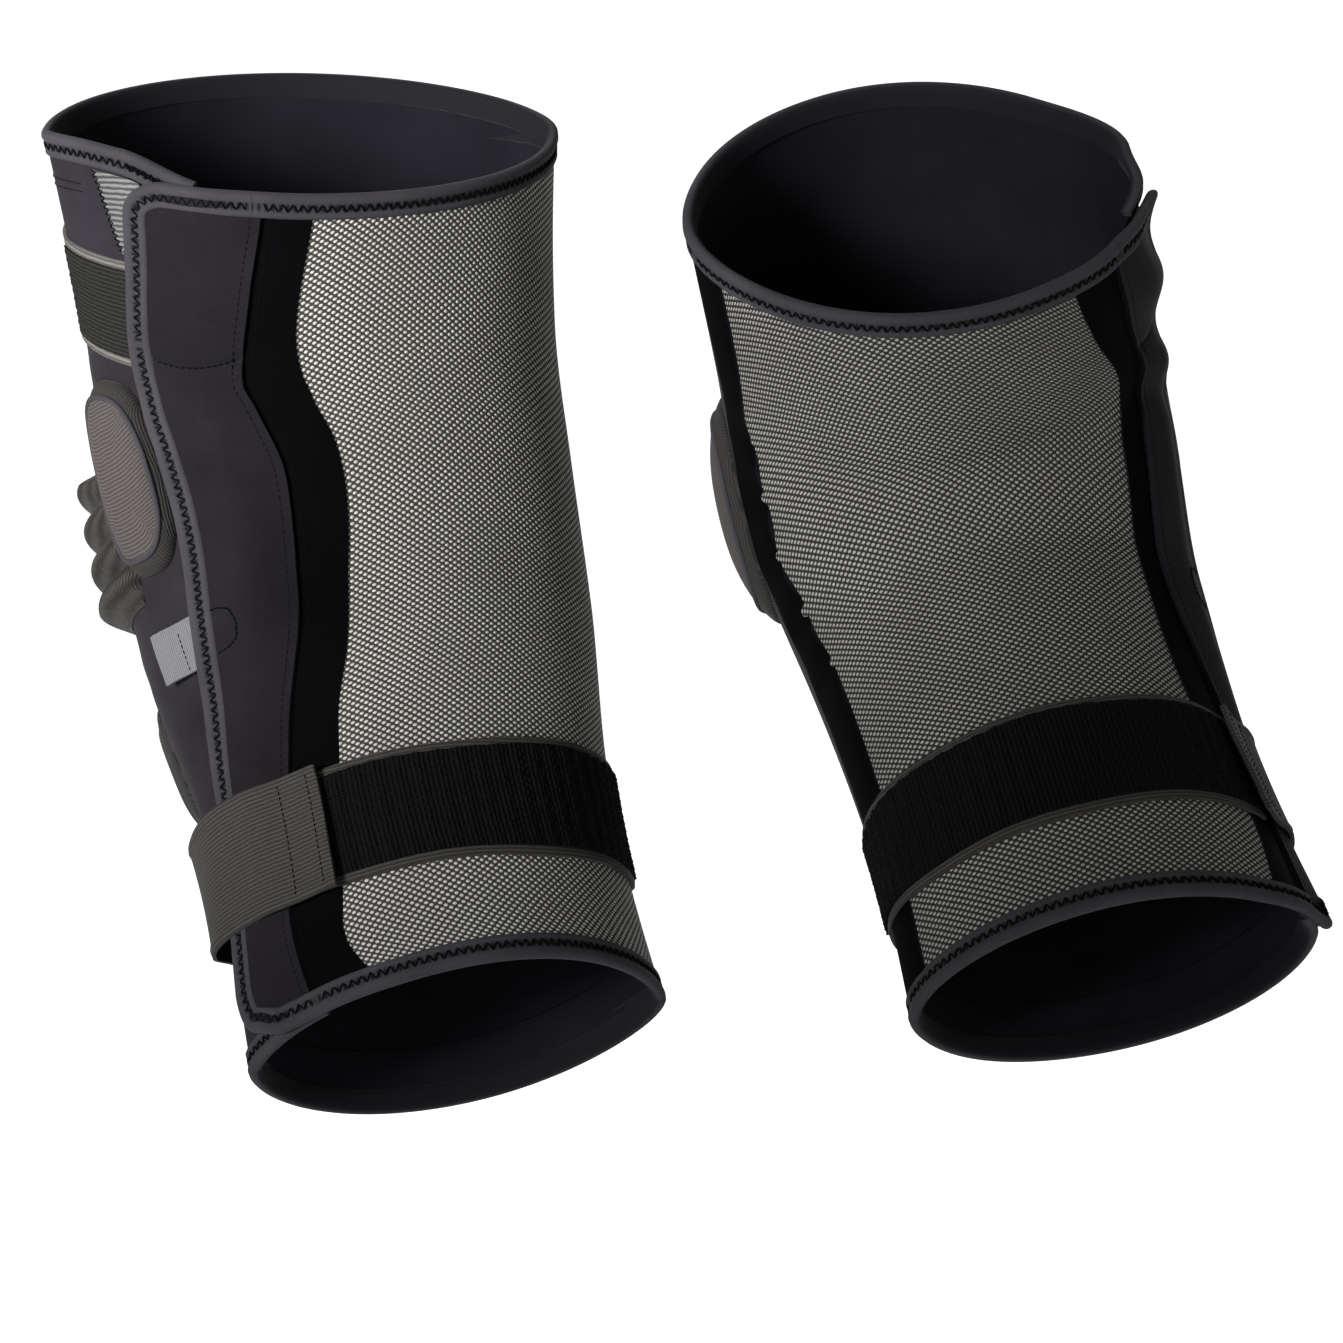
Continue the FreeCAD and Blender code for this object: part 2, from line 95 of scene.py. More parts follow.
class Sleeve:
    """One guard's sleeve. A point on it has a distance t along the centre line from the knee, an angle psi
    round it from the back towards the outer side, and a distance off outwards from the inner face."""

    stations = [-225, -140, -60, 0, 70, 150]
    bend_length = 120.0
    widest = -35

    def __init__(self, name, side, yaw, lean, thigh_tilt, calf_tilt, turn, half_width, half_depth, top,
                 bottom, ruffle, pinch, mesh_line, inner_line, seam_line, edge_line):
        self.name, self.side, self.turn, self.ruffle, self.pinch = name, side, turn, ruffle, pinch
        self.mesh_line, self.inner_line = mesh_line, inner_line
        self.seam_line, self.edge_line = seam_line, edge_line
        self.tilt = (math.radians(thigh_tilt), math.radians(calf_tilt))
        self.half_width = list(zip(self.stations, half_width))
        self.half_depth = list(zip(self.stations, half_depth))
        self.top_wave, self.bottom_wave = top, bottom
        mounts = {m["name"]: m["pos_m"] for m in frame["record"]["mounts"]}
        self.centre = np.array(mounts[name + "_knee"]) * 1000
        c, s = math.cos(math.radians(yaw)), math.sin(math.radians(yaw))
        about_z = np.array([[c, -s, 0], [s, c, 0], [0, 0, 1]])
        c, s = math.cos(math.radians(lean)), math.sin(math.radians(lean))
        self.rotation = np.array([[c, 0, s], [0, 1, 0], [-s, 0, c]]) @ about_z

    def centre_line(self, t):
        """Two straight runs joined by an arc: back and up coordinates and the tilt at t."""
        radius = self.bend_length / sum(self.tilt)
        inside = np.clip(t, -self.bend_length / 2, self.bend_length / 2)
        start = (self.tilt[0] - self.tilt[1]) / 2
        tilt = start + inside / radius
        y = radius * (np.cos(tilt) - math.cos(start)) - (t - inside) * np.sin(tilt)
        z = radius * (np.sin(tilt) - math.sin(start)) + (t - inside) * np.cos(tilt)
        return y, z, tilt

    def softness(self, t, psi):
        """How far the cloth stands off its pattern: long low waves everywhere, and short ruffles on the outer
        side of the thigh where the loose band buckles."""
        phi = np.radians(psi)
        waves = 0.5 * np.sin(t / 31 + 1.3 * np.sin(phi * 2)) * np.cos(phi * 3 + t / 60)
        patch = np.exp(-((psi - 58) / 16) ** 2) * smooth((t - 5) / 40)
        return waves + self.ruffle * patch * np.sin(t / 6.2 + psi / 9)

    def at(self, t, psi, off):
        """Ellipses square to the centre line, grown outwards by off plus the cloth's softness. Towards both
        open ends the front and back lie flatter, so that they meet in a soft corner at each side. Metres."""
        t, psi, off = np.broadcast_arrays(np.asarray(t, float), psi, off)
        phi = np.radians(psi + self.turn)
        grown = off + self.softness(t, psi)
        wide = through(self.half_width, t) + grown
        deep = through(self.half_depth, t) + grown
        y, z, tilt = self.centre_line(t)
        pinch = self.pinch * smooth((np.abs(t - self.widest) - 95) / 75)
        forward = -deep * np.cos(phi) * (np.abs(np.cos(phi)) + 1e-4) ** pinch
        local = np.stack([self.side * wide * np.sin(phi), y + forward * np.cos(tilt),
                          z + forward * np.sin(tilt)], -1)
        return (local @ self.rotation.T + self.centre) / 1000

    def wave(self, parts, psi):
        """A line round the sleeve: a level, and how far it tilts forwards and sideways."""
        phi = np.radians(psi + self.turn)
        return parts[0] + parts[1] * np.cos(phi) + parts[2] * np.sin(phi)

    def top(self, psi):
        return self.wave(self.top_wave, psi)

    def front_top(self, psi):
        """The front panel stands a little higher than the flap beside it, and falls in behind the flap."""
        return self.top(psi) + 8 * (1 - smooth((psi - 70) / 50)) * smooth((psi - 42) / 24)

    def bottom(self, psi):
        return self.wave(self.bottom_wave, psi)

    def mesh_edge(self, t):
        """The outer edge of the mesh, which steps in above the knee and out again below it."""
        return through(self.mesh_line, t)

    def inner_edge(self, t):
        """The edge of the dark strip along the inner side of the mesh."""
        return through(self.inner_line, t)

    def flap_seam(self, t):
        return through(self.seam_line, t)

    def flap_edge(self, t):
        """The flap's front edge, which sweeps forwards to the bottom hem."""
        return through(self.edge_line, t)


guards = [
    Sleeve("left", -1, 15, -8, 16, 24, -14, [76, 74, 85, 88, 89, 97], [52, 56, 60, 62, 63, 63],
           (141, -16, 8), (-225, 8, -1), 0.35, 0.40,
           [(-225, 36), (-199, 48), (-179, 47), (-116, 38), (-86, 30), (-52, 25), (-12, 22.5), (20, 23.5),
            (46, 27.5), (74, 30), (120, 23), (150, 20)],
           [(-225, -91), (-100, -91.5), (0, -91), (70, -92), (150, -91.5)],
           [(-225, 58), (-180, 62), (-119, 51), (-75, 39), (-48, 36), (-12, 34.5), (12, 35), (43, 39.5),
            (60, 42), (90, 38), (123, 32.5), (150, 31)],
           [(-225, 90), (-208, 88), (-189, 86), (-160, 83), (-125, 78), (-90, 70), (-42, 64), (0, 64),
            (52, 69), (73, 70), (114, 65), (150, 60)]),
    Sleeve("right", 1, 4, -13, 36, 36, 15, [73, 68, 72, 79, 80, 83], [45, 52, 58, 64, 68, 73],
           (131, -9, -6), (-217, 2, -2), 2.3, 0.14,
           [(-225, 38), (-180, 46), (-126, 36), (-76, 34), (-41, 34), (14, 33), (60, 35), (85, 25.5),
            (112, 18.5), (150, 17)],
           [(-225, -80), (-103, -79), (-69, -80), (-33, -82), (1, -82.5), (40, -82), (61, -86.5), (75, -85),
            (104, -83.5), (150, -84)],
           [(-225, 58), (-180, 62), (-130, 55), (-76, 43), (-41, 43), (14, 43), (60, 45), (85, 39), (112, 33),
            (150, 31)],
           [(-225, 90), (-208, 88), (-189, 86), (-160, 83), (-125, 78), (-90, 72), (-42, 68), (0, 68),
            (52, 70), (73, 70), (114, 65), (150, 60)]),
]
medial_seam = -97.0
panel = 2.5
full_turn = 6.28318


def lay_out(psi_range, t_range, rows, columns):
    """A grid of (t, psi) between two side lines, each a number or a function of t, and two end lines, each a
    number or a function of psi. Each point is found by going back and forth until both agree."""
    u, v = np.meshgrid(np.linspace(0, 1, rows), np.linspace(0, 1, columns), indexing="ij")
    level = lambda thing, at: thing(at) if callable(thing) else np.full_like(at, float(thing))
    t = np.zeros_like(u)
    for _ in range(8):
        first, second = level(psi_range[0], t), level(psi_range[1], t)
        psi = first + (second - first) * v
        low, high = level(t_range[0], psi), level(t_range[1], psi)
        t = low + (high - low) * u
    return t, psi


def grid_faces(rows, columns, start=0):
    """Four-cornered faces between neighbouring points of a grid, as rows of point numbers."""
    number = start + np.arange(rows * columns).reshape(rows, columns)
    return np.stack([number[:-1, :-1], number[:-1, 1:], number[1:, 1:], number[1:, :-1]], -1).reshape(-1, 4)


def new_piece(name, points, faces, finishes, which=None, uv=None):
    """A mesh object from arrays of points and faces, smooth but with its sharp rims kept."""
    mesh = bpy.data.meshes.new(name)
    mesh.from_pydata(np.asarray(points).reshape(-1, 3), [], np.asarray(faces).tolist())
    for finish in finishes:
        mesh.materials.append(finish)
    if which is not None:
        mesh.polygons.foreach_set("material_index", np.asarray(which, np.int32))
    if uv is not None:
        corner = np.empty(len(mesh.loops), np.int32)
        mesh.loops.foreach_get("vertex_index", corner)
        layer = mesh.uv_layers.new(name="cloth")
        layer.data.foreach_set("uv", np.asarray(uv, np.float32).reshape(-1, 2)[corner].ravel())
    mesh.shade_smooth()
    mesh.set_sharp_from_angle(angle=math.radians(55))
    mesh.update()
    piece = bpy.data.objects.new(name, mesh)
    bpy.context.scene.collection.objects.link(piece)
    return piece


def slab(name, guard, t, psi, low, high, finishes, which=None):
    """A closed panel over a grid of (t, psi), from the distance low to high off the sleeve's inner face. Its
    UV is in millimetres of real cloth: along the row from its middle, and up the column from its foot. The
    outer face takes the first finish and the inner face and rims the last, unless `which` says otherwise."""
    rows, columns = t.shape
    outer, inner = guard.at(t, psi, high), guard.at(t, psi, low)
    girth = np.zeros_like(t)
    girth[:, 1:] = np.cumsum(np.linalg.norm(np.diff(outer, axis=1), axis=2), axis=1) * 1000
    girth -= girth[:, columns // 2][:, None]
    length = np.zeros_like(t)
    length[1:] = np.cumsum(np.linalg.norm(np.diff(outer, axis=0), axis=2), axis=0) * 1000
    uv = np.stack([girth, length], -1).reshape(-1, 2)
    skin = grid_faces(rows, columns)
    count = rows * columns
    number = np.arange(count).reshape(rows, columns)
    rim = np.concatenate([number[0, :], number[1:, -1], number[-1, -2::-1], number[-2:0:-1, 0]])
    after = np.roll(rim, -1)
    walls = np.stack([after, rim, rim + count, after + count], -1)
    faces = np.concatenate([skin, skin[:, ::-1] + count, walls])
    middle = skin[len(skin) // 2 + columns // 2]
    points = outer.reshape(-1, 3)
    facing = np.cross(points[middle[1]] - points[middle[0]], points[middle[2]] - points[middle[1]])
    if facing @ (points - inner.reshape(-1, 3))[middle[0]] < 0:
        faces = faces[:, ::-1]
    shown = np.zeros(len(skin)) if which is None else which
    rest = np.full(len(faces) - len(skin), len(finishes) - 1)
    return new_piece(name, np.concatenate([points, inner.reshape(-1, 3)]), faces, finishes,
                     np.concatenate([shown, rest]), np.concatenate([uv, uv]))


def cloth(name, guard, lines, low, high, finishes, rows=60, columns=40):
    """One guard's slab between two side lines and two end lines. low and high are numbers or functions of
    (t, psi)."""
    t, psi = lay_out(*lines, rows, columns)
    level = lambda thing: thing(t, psi) if callable(thing) else np.full_like(t, float(thing))
    return slab(guard.name + "_" + name, guard, t, psi, level(low), level(high), finishes)


def across_knee(piece, guard, slot, *nodes):
    """Bakes the piece's placement into its points and hides the design's solids that it stands for."""
    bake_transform(piece)
    return stands_for(piece, guard, slot, *nodes)


def stands_for(piece, guard, slot, *nodes):
    """Hides the design's solids that the piece stands for. The slot is not used."""
    if nodes:
        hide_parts(*[guard.name + "_" + node for node in nodes])
    return piece


def group(name, inputs, outputs):
    """An empty shader group with named number or vector sockets, and its two end nodes."""
    tree = bpy.data.node_groups.new(name, "ShaderNodeTree")
    for label, kind in inputs:
        tree.interface.new_socket(label, in_out="INPUT", socket_type="NodeSocket" + kind)
    for label, kind in outputs:
        tree.interface.new_socket(label, in_out="OUTPUT", socket_type="NodeSocket" + kind)
    begin, end = tree.nodes.new("NodeGroupInput"), tree.nodes.new("NodeGroupOutput")
    return tree, begin, end


def maths(tree, operation, *values):
    """A Math node whose inputs are sockets or numbers, and its output."""
    node = tree.nodes.new("ShaderNodeMath")
    node.operation = operation
    for socket, thing in zip(node.inputs, values):
        if isinstance(thing, (int, float)):
            socket.default_value = thing
        else:
            tree.links.new(thing, socket)
    return node.outputs[0]


def parted(tree, vector):
    """The three parts of a vector socket."""
    node = tree.nodes.new("ShaderNodeSeparateXYZ")
    tree.links.new(vector, node.inputs[0])
    return node.outputs


def ranged(tree, value, none, full, interpolation="LINEAR"):
    """0 where the socket's value is at `none` or beyond, 1 where it is at `full` or beyond."""
    node = tree.nodes.new("ShaderNodeMapRange")
    node.interpolation_type = interpolation
    tree.links.new(value, node.inputs["Value"])
    node.inputs["From Min"].default_value, node.inputs["From Max"].default_value = none, full
    return node.outputs["Result"]


def noise(tree, place, scale, detail):
    """A Noise texture's value over the given places; scale is a number or a socket."""
    node = tree.nodes.new("ShaderNodeTexNoise")
    tree.links.new(place, node.inputs["Vector"])
    if isinstance(scale, (int, float)):
        node.inputs["Scale"].default_value = scale
    else:
        tree.links.new(scale, node.inputs["Scale"])
    node.inputs["Detail"].default_value = detail
    return node.outputs[0]


def make_knots():
    """Knots of a net: spots at the corners and centres of a lattice of Across by Along, each of a radius
    given as a share of the cell. The mask is 1 on a spot and falls to 0 across its soft rim, and the height
    is the same rounded off."""
    sizes = [(label, "Float") for label in ("Across", "Along", "Radius")]
    tree, begin, end = group("net_knots", [("Place", "Vector")] + sizes,
                             [("Mask", "Float"), ("Height", "Float")])
    place = parted(tree, begin.outputs["Place"])
    across = maths(tree, "DIVIDE", place[0], begin.outputs["Across"])
    along = maths(tree, "DIVIDE", place[1], begin.outputs["Along"])
    nearest = []
    for shift in (0.0, 0.5):
        parts = []
        for axis in (across, along):
            wrapped = maths(tree, "FRACT", maths(tree, "ADD", axis, shift + 100.0))
            parts.append(maths(tree, "POWER", maths(tree, "SUBTRACT", wrapped, 0.5), 2.0))
        nearest.append(maths(tree, "SQRT", maths(tree, "ADD", *parts)))
    distance = maths(tree, "DIVIDE", maths(tree, "MINIMUM", *nearest), begin.outputs["Radius"])
    tree.links.new(ranged(tree, distance, 1.25, 0.65, "SMOOTHSTEP"), end.inputs["Mask"])
    tree.links.new(ranged(tree, distance, 1.5, 0.0, "SMOOTHSTEP"), end.inputs["Height"])
    return tree


def make_knit():
    """Fine knit: two crossed ripples broken up by noise, and a slow blotch for uneven dye. All 0 to 1."""
    tree, begin, end = group("knit", [("Place", "Vector"), ("Gauge", "Float")],
                             [("Height", "Float"), ("Blotch", "Float")])
    place = begin.outputs["Place"]
    fine = noise(tree, place, maths(tree, "DIVIDE", 1.0, begin.outputs["Gauge"]), 2.0)
    turn = maths(tree, "DIVIDE", full_turn, begin.outputs["Gauge"])
    sides = parted(tree, place)
    ripples = [maths(tree, "SINE", maths(tree, "MULTIPLY", sides[i], turn)) for i in (0, 2)]
    weave = maths(tree, "MULTIPLY_ADD", maths(tree, "MULTIPLY", *ripples), 0.25, 0.5)
    tree.links.new(maths(tree, "MULTIPLY_ADD", fine, 0.6, maths(tree, "MULTIPLY", weave, 0.4)),
                   end.inputs["Height"])
    tree.links.new(noise(tree, place, 28.0, 3.0), end.inputs["Blotch"])
    return tree


knots, knit = make_knots(), make_knit()


class Finish:
    """A cloth material being put together: its nodes, links and the shader that shows."""

    def __init__(self, name, roughness, sheen=0.0, specular=0.3):
        self.material = bpy.data.materials.new(name)
        self.material.use_nodes = True
        self.tree = self.material.node_tree
        self.shader = self.tree.nodes["Principled BSDF"]
        self.shader.inputs["Roughness"].default_value = roughness
        self.shader.inputs["Sheen Weight"].default_value = sheen
        self.shader.inputs["Sheen Roughness"].default_value = 0.4
        self.shader.inputs["Specular IOR Level"].default_value = specular

    def place(self, which):
        return self.tree.nodes.new("ShaderNodeTexCoord").outputs[which]

    def use(self, tree, **values):
        """A shader group in this material, with sockets linked or set by name."""
        node = self.tree.nodes.new("ShaderNodeGroup")
        node.node_tree = tree
        for label, thing in values.items():
            if isinstance(thing, (int, float)):
                node.inputs[label].default_value = thing
            else:
                self.tree.links.new(thing, node.inputs[label])
        return node

    def ribs_along(self, axis, pitch):
        """Height of ribs at a pitch in millimetres along one direction of the UV."""
        run = parted(self.tree, self.place("UV"))[axis]
        return self.use(ribs, Run=run, Pitch=pitch, Place=self.place("Object")).outputs["Height"]

    def mixed(self, factor, first, second):
        """Two colours, or colour sockets, mixed by a socket."""
        node = self.tree.nodes.new("ShaderNodeMix")
        node.data_type = "RGBA"
        self.tree.links.new(factor, node.inputs["Factor"])
        for socket, thing in ((node.inputs[6], first), (node.inputs[7], second)):
            if isinstance(thing, tuple):
                socket.default_value = (*thing, 1)
            else:
                self.tree.links.new(thing, socket)
        return node.outputs[2]

    def colour(self, socket):
        self.tree.links.new(socket, self.shader.inputs["Base Color"])

    def bump(self, height, strength, distance):
        """Relief: distance is the real height in metres of a full swing of the pattern."""
        node = self.tree.nodes.new("ShaderNodeBump")
        node.inputs["Strength"].default_value = strength
        node.inputs["Distance"].default_value = distance
        self.tree.links.new(height, node.inputs["Height"])
        self.tree.links.new(node.outputs[0], self.shader.inputs["Normal"])


def make_net(name, shade):
    """Pale warm knots over a dark olive ground, with uneven dye, and paler or darker by shade."""
    finish = Finish(name, 0.75, specular=0.06)
    net = finish.use(knots, Place=finish.place("UV"), Across=3.3, Along=2.5, Radius=0.235)
    dye = finish.use(knit, Place=finish.place("Object"), Gauge=0.0011)
    dull, bright = np.array([0.27, 0.262, 0.240]) * shade, np.array([0.44, 0.428, 0.400]) * shade
    pale = finish.mixed(dye.outputs["Blotch"], tuple(dull), tuple(bright))
    ground = tuple(np.array([0.0240, 0.0232, 0.0205]) * shade)
    finish.colour(finish.mixed(net.outputs["Mask"], ground, pale))
    finish.bump(net.outputs["Height"], 0.7, 0.0006)
    return finish.material


def knitted(name, roughness, specular, gauge, pattern, dark, light, strength, depth):
    """A plain knit between two colours, which follow its Blotch or its Height. gauge and depth are metres."""
    finish = Finish(name, roughness, specular=specular)
    dye = finish.use(knit, Place=finish.place("Object"), Gauge=gauge)
    finish.colour(finish.mixed(dye.outputs[pattern], dark, light))
    finish.bump(dye.outputs["Height"], strength, depth)
    return finish.material


# near-black brushed knit with a slight blue cast
lining = knitted("lining", 0.9, 0.04, 0.0012, "Blotch", (0.0028, 0.0027, 0.0038),
                 (0.0076, 0.0071, 0.0096), 0.4, 0.0003)
# The right guard's net is a darker copy of the left's: painted shade for the weaker light on that guard.
nets = {"left": make_net("spacer_mesh", 0.88), "right": make_net("darker_spacer_mesh", 0.55)}
hem_inset = 2.0
for guard in guards:
    lines = ((medial_seam, guard.mesh_edge),
             (lambda psi: guard.bottom(psi) + hem_inset, lambda psi: guard.top(psi) - hem_inset))
    piece = cloth("mesh_back", guard, lines, 0, panel, [nets[guard.name], lining], 120, 64)
    across_knee(piece, guard, "mesh", "thigh_mesh_panel", "calf_mesh_panel", "knee_rear_gusset")


# ---- Outer band -----------------------------------------------------------------------------------------
# A smooth, tight black strip of bonded knit joins the mesh to the front panel. Half of it lies under the
# flap. It is laid over the mesh's edge and stitched flat, so it stands a little proud.

band_knit = knitted("band_knit", 0.85, 0.015, 0.0007, "Blotch", (0.0003, 0.0003, 0.0004),
                    (0.0012, 0.0012, 0.0015), 0.35, 0.0002)
lateral_join = 64.0
band_overlap, band_rise = 1.5, 0.6
for guard in guards:
    lines = ((lambda t: guard.mesh_edge(t) - band_overlap, lateral_join),
             (lambda psi: guard.bottom(psi) + hem_inset, lambda psi: guard.front_top(psi) - hem_inset))
    piece = cloth("outer_band", guard, lines, 0.1, panel + band_rise, [band_knit, lining],
                  120, 16)
    across_knee(piece, guard, "neoprene", "thigh_lateral_band", "calf_lateral_band")


# ---- Front panel ----------------------------------------------------------------------------------------
# The front is one panel of neoprene with a knit face, from under the flap round to the inner side. It is cut
# fuller than the back, so it wrinkles above and below the cup.

def make_neoprene(name, shade):
    """Matte charcoal knit over neoprene, faintly purple, with uneven dye, and lighter or darker by shade."""
    finish = Finish(name, 0.85, sheen=0.03, specular=0.05)
    dye = finish.use(knit, Place=finish.place("Object"), Gauge=0.0009)
    dark, light = np.array([0.0020, 0.0016, 0.0024]) * shade, np.array([0.0300, 0.0262, 0.0330]) * shade
    uneven = maths(finish.tree, "MULTIPLY_ADD", dye.outputs["Height"], 0.9,
                   maths(finish.tree, "MULTIPLY_ADD", dye.outputs["Blotch"], 0.8, -0.35))
    finish.colour(finish.mixed(uneven, tuple(dark), tuple(light)))
    finish.bump(dye.outputs["Height"], 0.5, 0.00025)
    return finish.material


neoprene = make_neoprene("neoprene", 0.6)
front_end = 360 + medial_seam


def front_wrinkles(t, psi):
    """Creases across the front above and below the cup, deepest in the middle and gone at both sides."""
    middle = np.sin(np.pi * np.clip((psi - 90) / 150, 0, 1)) ** 2
    creases = np.exp(-((t + 56) / 14) ** 2) + np.exp(-((t - 56) / 12) ** 2)
    return panel + 0.9 * middle * creases * np.sin(t / 2.6 + psi / 30)


for guard in guards:
    lines = ((lateral_join, front_end),
             (lambda psi: guard.bottom(psi) + hem_inset, lambda psi: guard.front_top(psi) - hem_inset))
    piece = cloth("front_panel", guard, lines, 0, front_wrinkles, [neoprene, lining], 150, 84)
    across_knee(piece, guard, "neoprene", "thigh_front_panel", "calf_front_panel", "knee_front_gusset")


# ---- Flap -----------------------------------------------------------------------------------------------
# The flap is one layer of neoprene sewn down along its rear seam. It wraps forwards over the front panel and
# is held by hook tape on the thigh strap and by the calf strap's end. It has a cross seam above the knee,
# which parts it into an upper and a lower piece, and its upper corner peels open on a slanting line.

flap_cloth = 2.5
cross_seam = 69.0
flap_height = 5.8
corner_round = 13.0
degrees_per_mm = 0.72


def rounded_edge(guard):
    """The front edge with its top corner rounded off by a quarter circle."""
    top = float(guard.top(66))

    def edge(t):
        into = np.clip((t - (top - corner_round)) / corner_round, 0, 1)
        return guard.flap_edge(t) - corner_round * (1 - np.sqrt(1 - into ** 2)) * degrees_per_mm
    return edge


def flap_bottom(guard, psi):
    """The flap's lower corner is cut back, so that it clears the hem below."""
    return guard.bottom(psi) + 15 * smooth((psi - 68) / 24)


def flap_lift(guard, t, psi):
    """Sewn down at the seam, and riding over the hooks and loops beyond it."""
    low = panel + 0.15
    return low + (flap_height - low) * smooth((psi - guard.flap_seam(t)) / 14)


def flap_face(guard, t, psi):
    """The flap's outer face: full between its seam and its binding, pulled in along the cross seam."""
    share = np.clip((psi - guard.flap_seam(t)) / (guard.flap_edge(t) - guard.flap_seam(t)), 0, 1)
    pulled = np.exp(-((t - cross_line(psi)) / 2.2) ** 2)
    return flap_lift(guard, t, psi) + flap_cloth + 0.9 * np.sin(np.pi * share) - 1.0 * pulled


def cross_line(psi):
    """The cross seam dips from the front edge back to the rear seam."""
    return cross_seam + 7 * smooth((psi - 44) / 34) - 5 * np.sin(np.pi * np.clip((psi - 40) / 36, 0, 1))


def on_flap_corner(piece, guard, slot, *nodes):
    """Looks up the flap's peel joint and the corner's reach, which nothing uses, then bakes the piece's
    placement into its points and hides the design's solids that it stands for.
    """
    peel = next(j for j in frame["joints"] if j["name"] == guard.name + "_flap_peel")
    axis, foot = Vector(peel["axis"]), Vector(peel["pos_m"])
    reach = Vector(guard.at(124, 64, 7)) - foot
    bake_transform(piece)
    return stands_for(piece, guard, slot, *nodes)


binding_width = 8.5
# The flap's neoprene is a darker copy of the front's, darkened in part as painted shade for the form shading
# across the flap.
flap_knit = make_neoprene("flap_neoprene", 0.33)
for guard in guards:
    edge = rounded_edge(guard)
    cut = lambda t: edge(t) - 4.0 * degrees_per_mm
    under, over = lambda t, psi: flap_lift(guard, t, psi), lambda t, psi: flap_face(guard, t, psi)
    lines = ((guard.flap_seam, cut), (cross_line, lambda psi: guard.top(psi) - hem_inset))
    piece = cloth("flap_upper", guard, lines, under, over, [flap_knit, lining], 34, 34)
    on_flap_corner(piece, guard, "flap_cloth", "flap_base", "upper_flap")
    lines = ((guard.flap_seam, lambda t: guard.flap_edge(t) - 4.0 * degrees_per_mm),
             (lambda psi: flap_bottom(guard, psi) + hem_inset, cross_line))
    piece = cloth("flap_lower", guard, lines, under, over, [flap_knit, lining], 120, 34)
    across_knee(piece, guard, "flap_cloth", "lower_flap", "knee_flap_span")


# ---- Bound hems -----------------------------------------------------------------------------------------
# Every raw edge is bound with a folded knit tape, about 9 mm wide, that rolls over the edge. It is held by a
# zigzag stitch down its middle, which presses a groove between two soft ridges.

def tape_profile(width):
    """The tape's section as distances in from the cloth's edge and out from its inner face: up the outer face
    over two ridges with a groove between, round the edge, and back along the inner face."""
    inward = np.array([1.0, 0.97, 0.86, 0.74, 0.60, 0.42, 0.30, 0.18, 0.04,
                       -0.06, -0.12, -0.12, -0.05, 0.08, 0.3, 0.6, 0.95, 1.0]) * width
    outward = np.array([2.3, 3.1, 3.7, 3.5, 3.05, 3.05, 3.5, 3.9, 3.7,
                        3.1, 2.0, 0.8, -0.3, -0.9, -0.9, -0.8, -0.7, 0.0])
    return inward, outward


def edge_frame(guard, t, psi):
    """Along a line drawn on the sleeve: steps of a millimetre to its left, as changes of t and psi."""
    here, beside = guard.at(t, psi, 3), guard.at(t, psi + 0.5, 3)
    per_degree = np.linalg.norm(beside - here, axis=-1) * 2000
    along = np.stack([np.gradient(t), np.gradient(psi) * per_degree], -1)
    along /= np.linalg.norm(along, axis=-1)[:, None]
    return -along[:, 1], along[:, 0] / per_degree


def tube_faces(rings, sides):
    """Faces of a tube of `rings` rings of `sides` points. The faces over both ends are left to the caller."""
    number = np.arange(rings * sides).reshape(rings, sides)
    right = np.roll(number, -1, axis=1)
    return np.stack([number[:-1], right[:-1], right[1:], number[1:]], -1).reshape(-1, 4)


def bound_edge(name, guard, t, psi, base, finish, side=1, width=binding_width):
    """Tape along a line of (t, psi) on the sleeve. side says which way the cloth lies from the line."""
    step_t, step_psi = edge_frame(guard, t, psi)
    inward, outward = tape_profile(width)
    tt = t[:, None] + side * step_t[:, None] * inward
    pp = psi[:, None] + side * step_psi[:, None] * inward
    off = base[:, None] + outward
    points = guard.at(tt, pp, off)
    rings, sides = tt.shape
    faces = tube_faces(rings, sides).tolist()
    faces.append(list(range(sides))[::-1])
    faces.append(list(range((rings - 1) * sides, rings * sides)))
    run = np.concatenate([[0], np.cumsum(np.linalg.norm(np.diff(points[:, 0], axis=0), axis=1))]) * 1000
    uv = np.stack(np.broadcast_arrays(run[:, None], np.arange(sides)[None, :] * 1.0), -1)
    piece = new_piece(name, points, np.array(faces, dtype=object), [finish], None, uv)
    face_outwards(piece)
    return piece


def face_outwards(piece):
    """Turns a closed mesh the right way out if the volume that its faces enclose comes out negative."""
    mesh = piece.data
    mesh.calc_loop_triangles()
    corner = np.empty(len(mesh.loop_triangles) * 3, np.int32)
    mesh.loop_triangles.foreach_get("vertices", corner)
    place = np.empty(len(mesh.vertices) * 3, np.float32)
    mesh.vertices.foreach_get("co", place)
    a, b, c = place.reshape(-1, 3)[corner.reshape(-1, 3)].transpose(1, 0, 2)
    if np.einsum("ij,ij->i", a, np.cross(b, c)).sum() < 0:
        mesh.flip_normals()


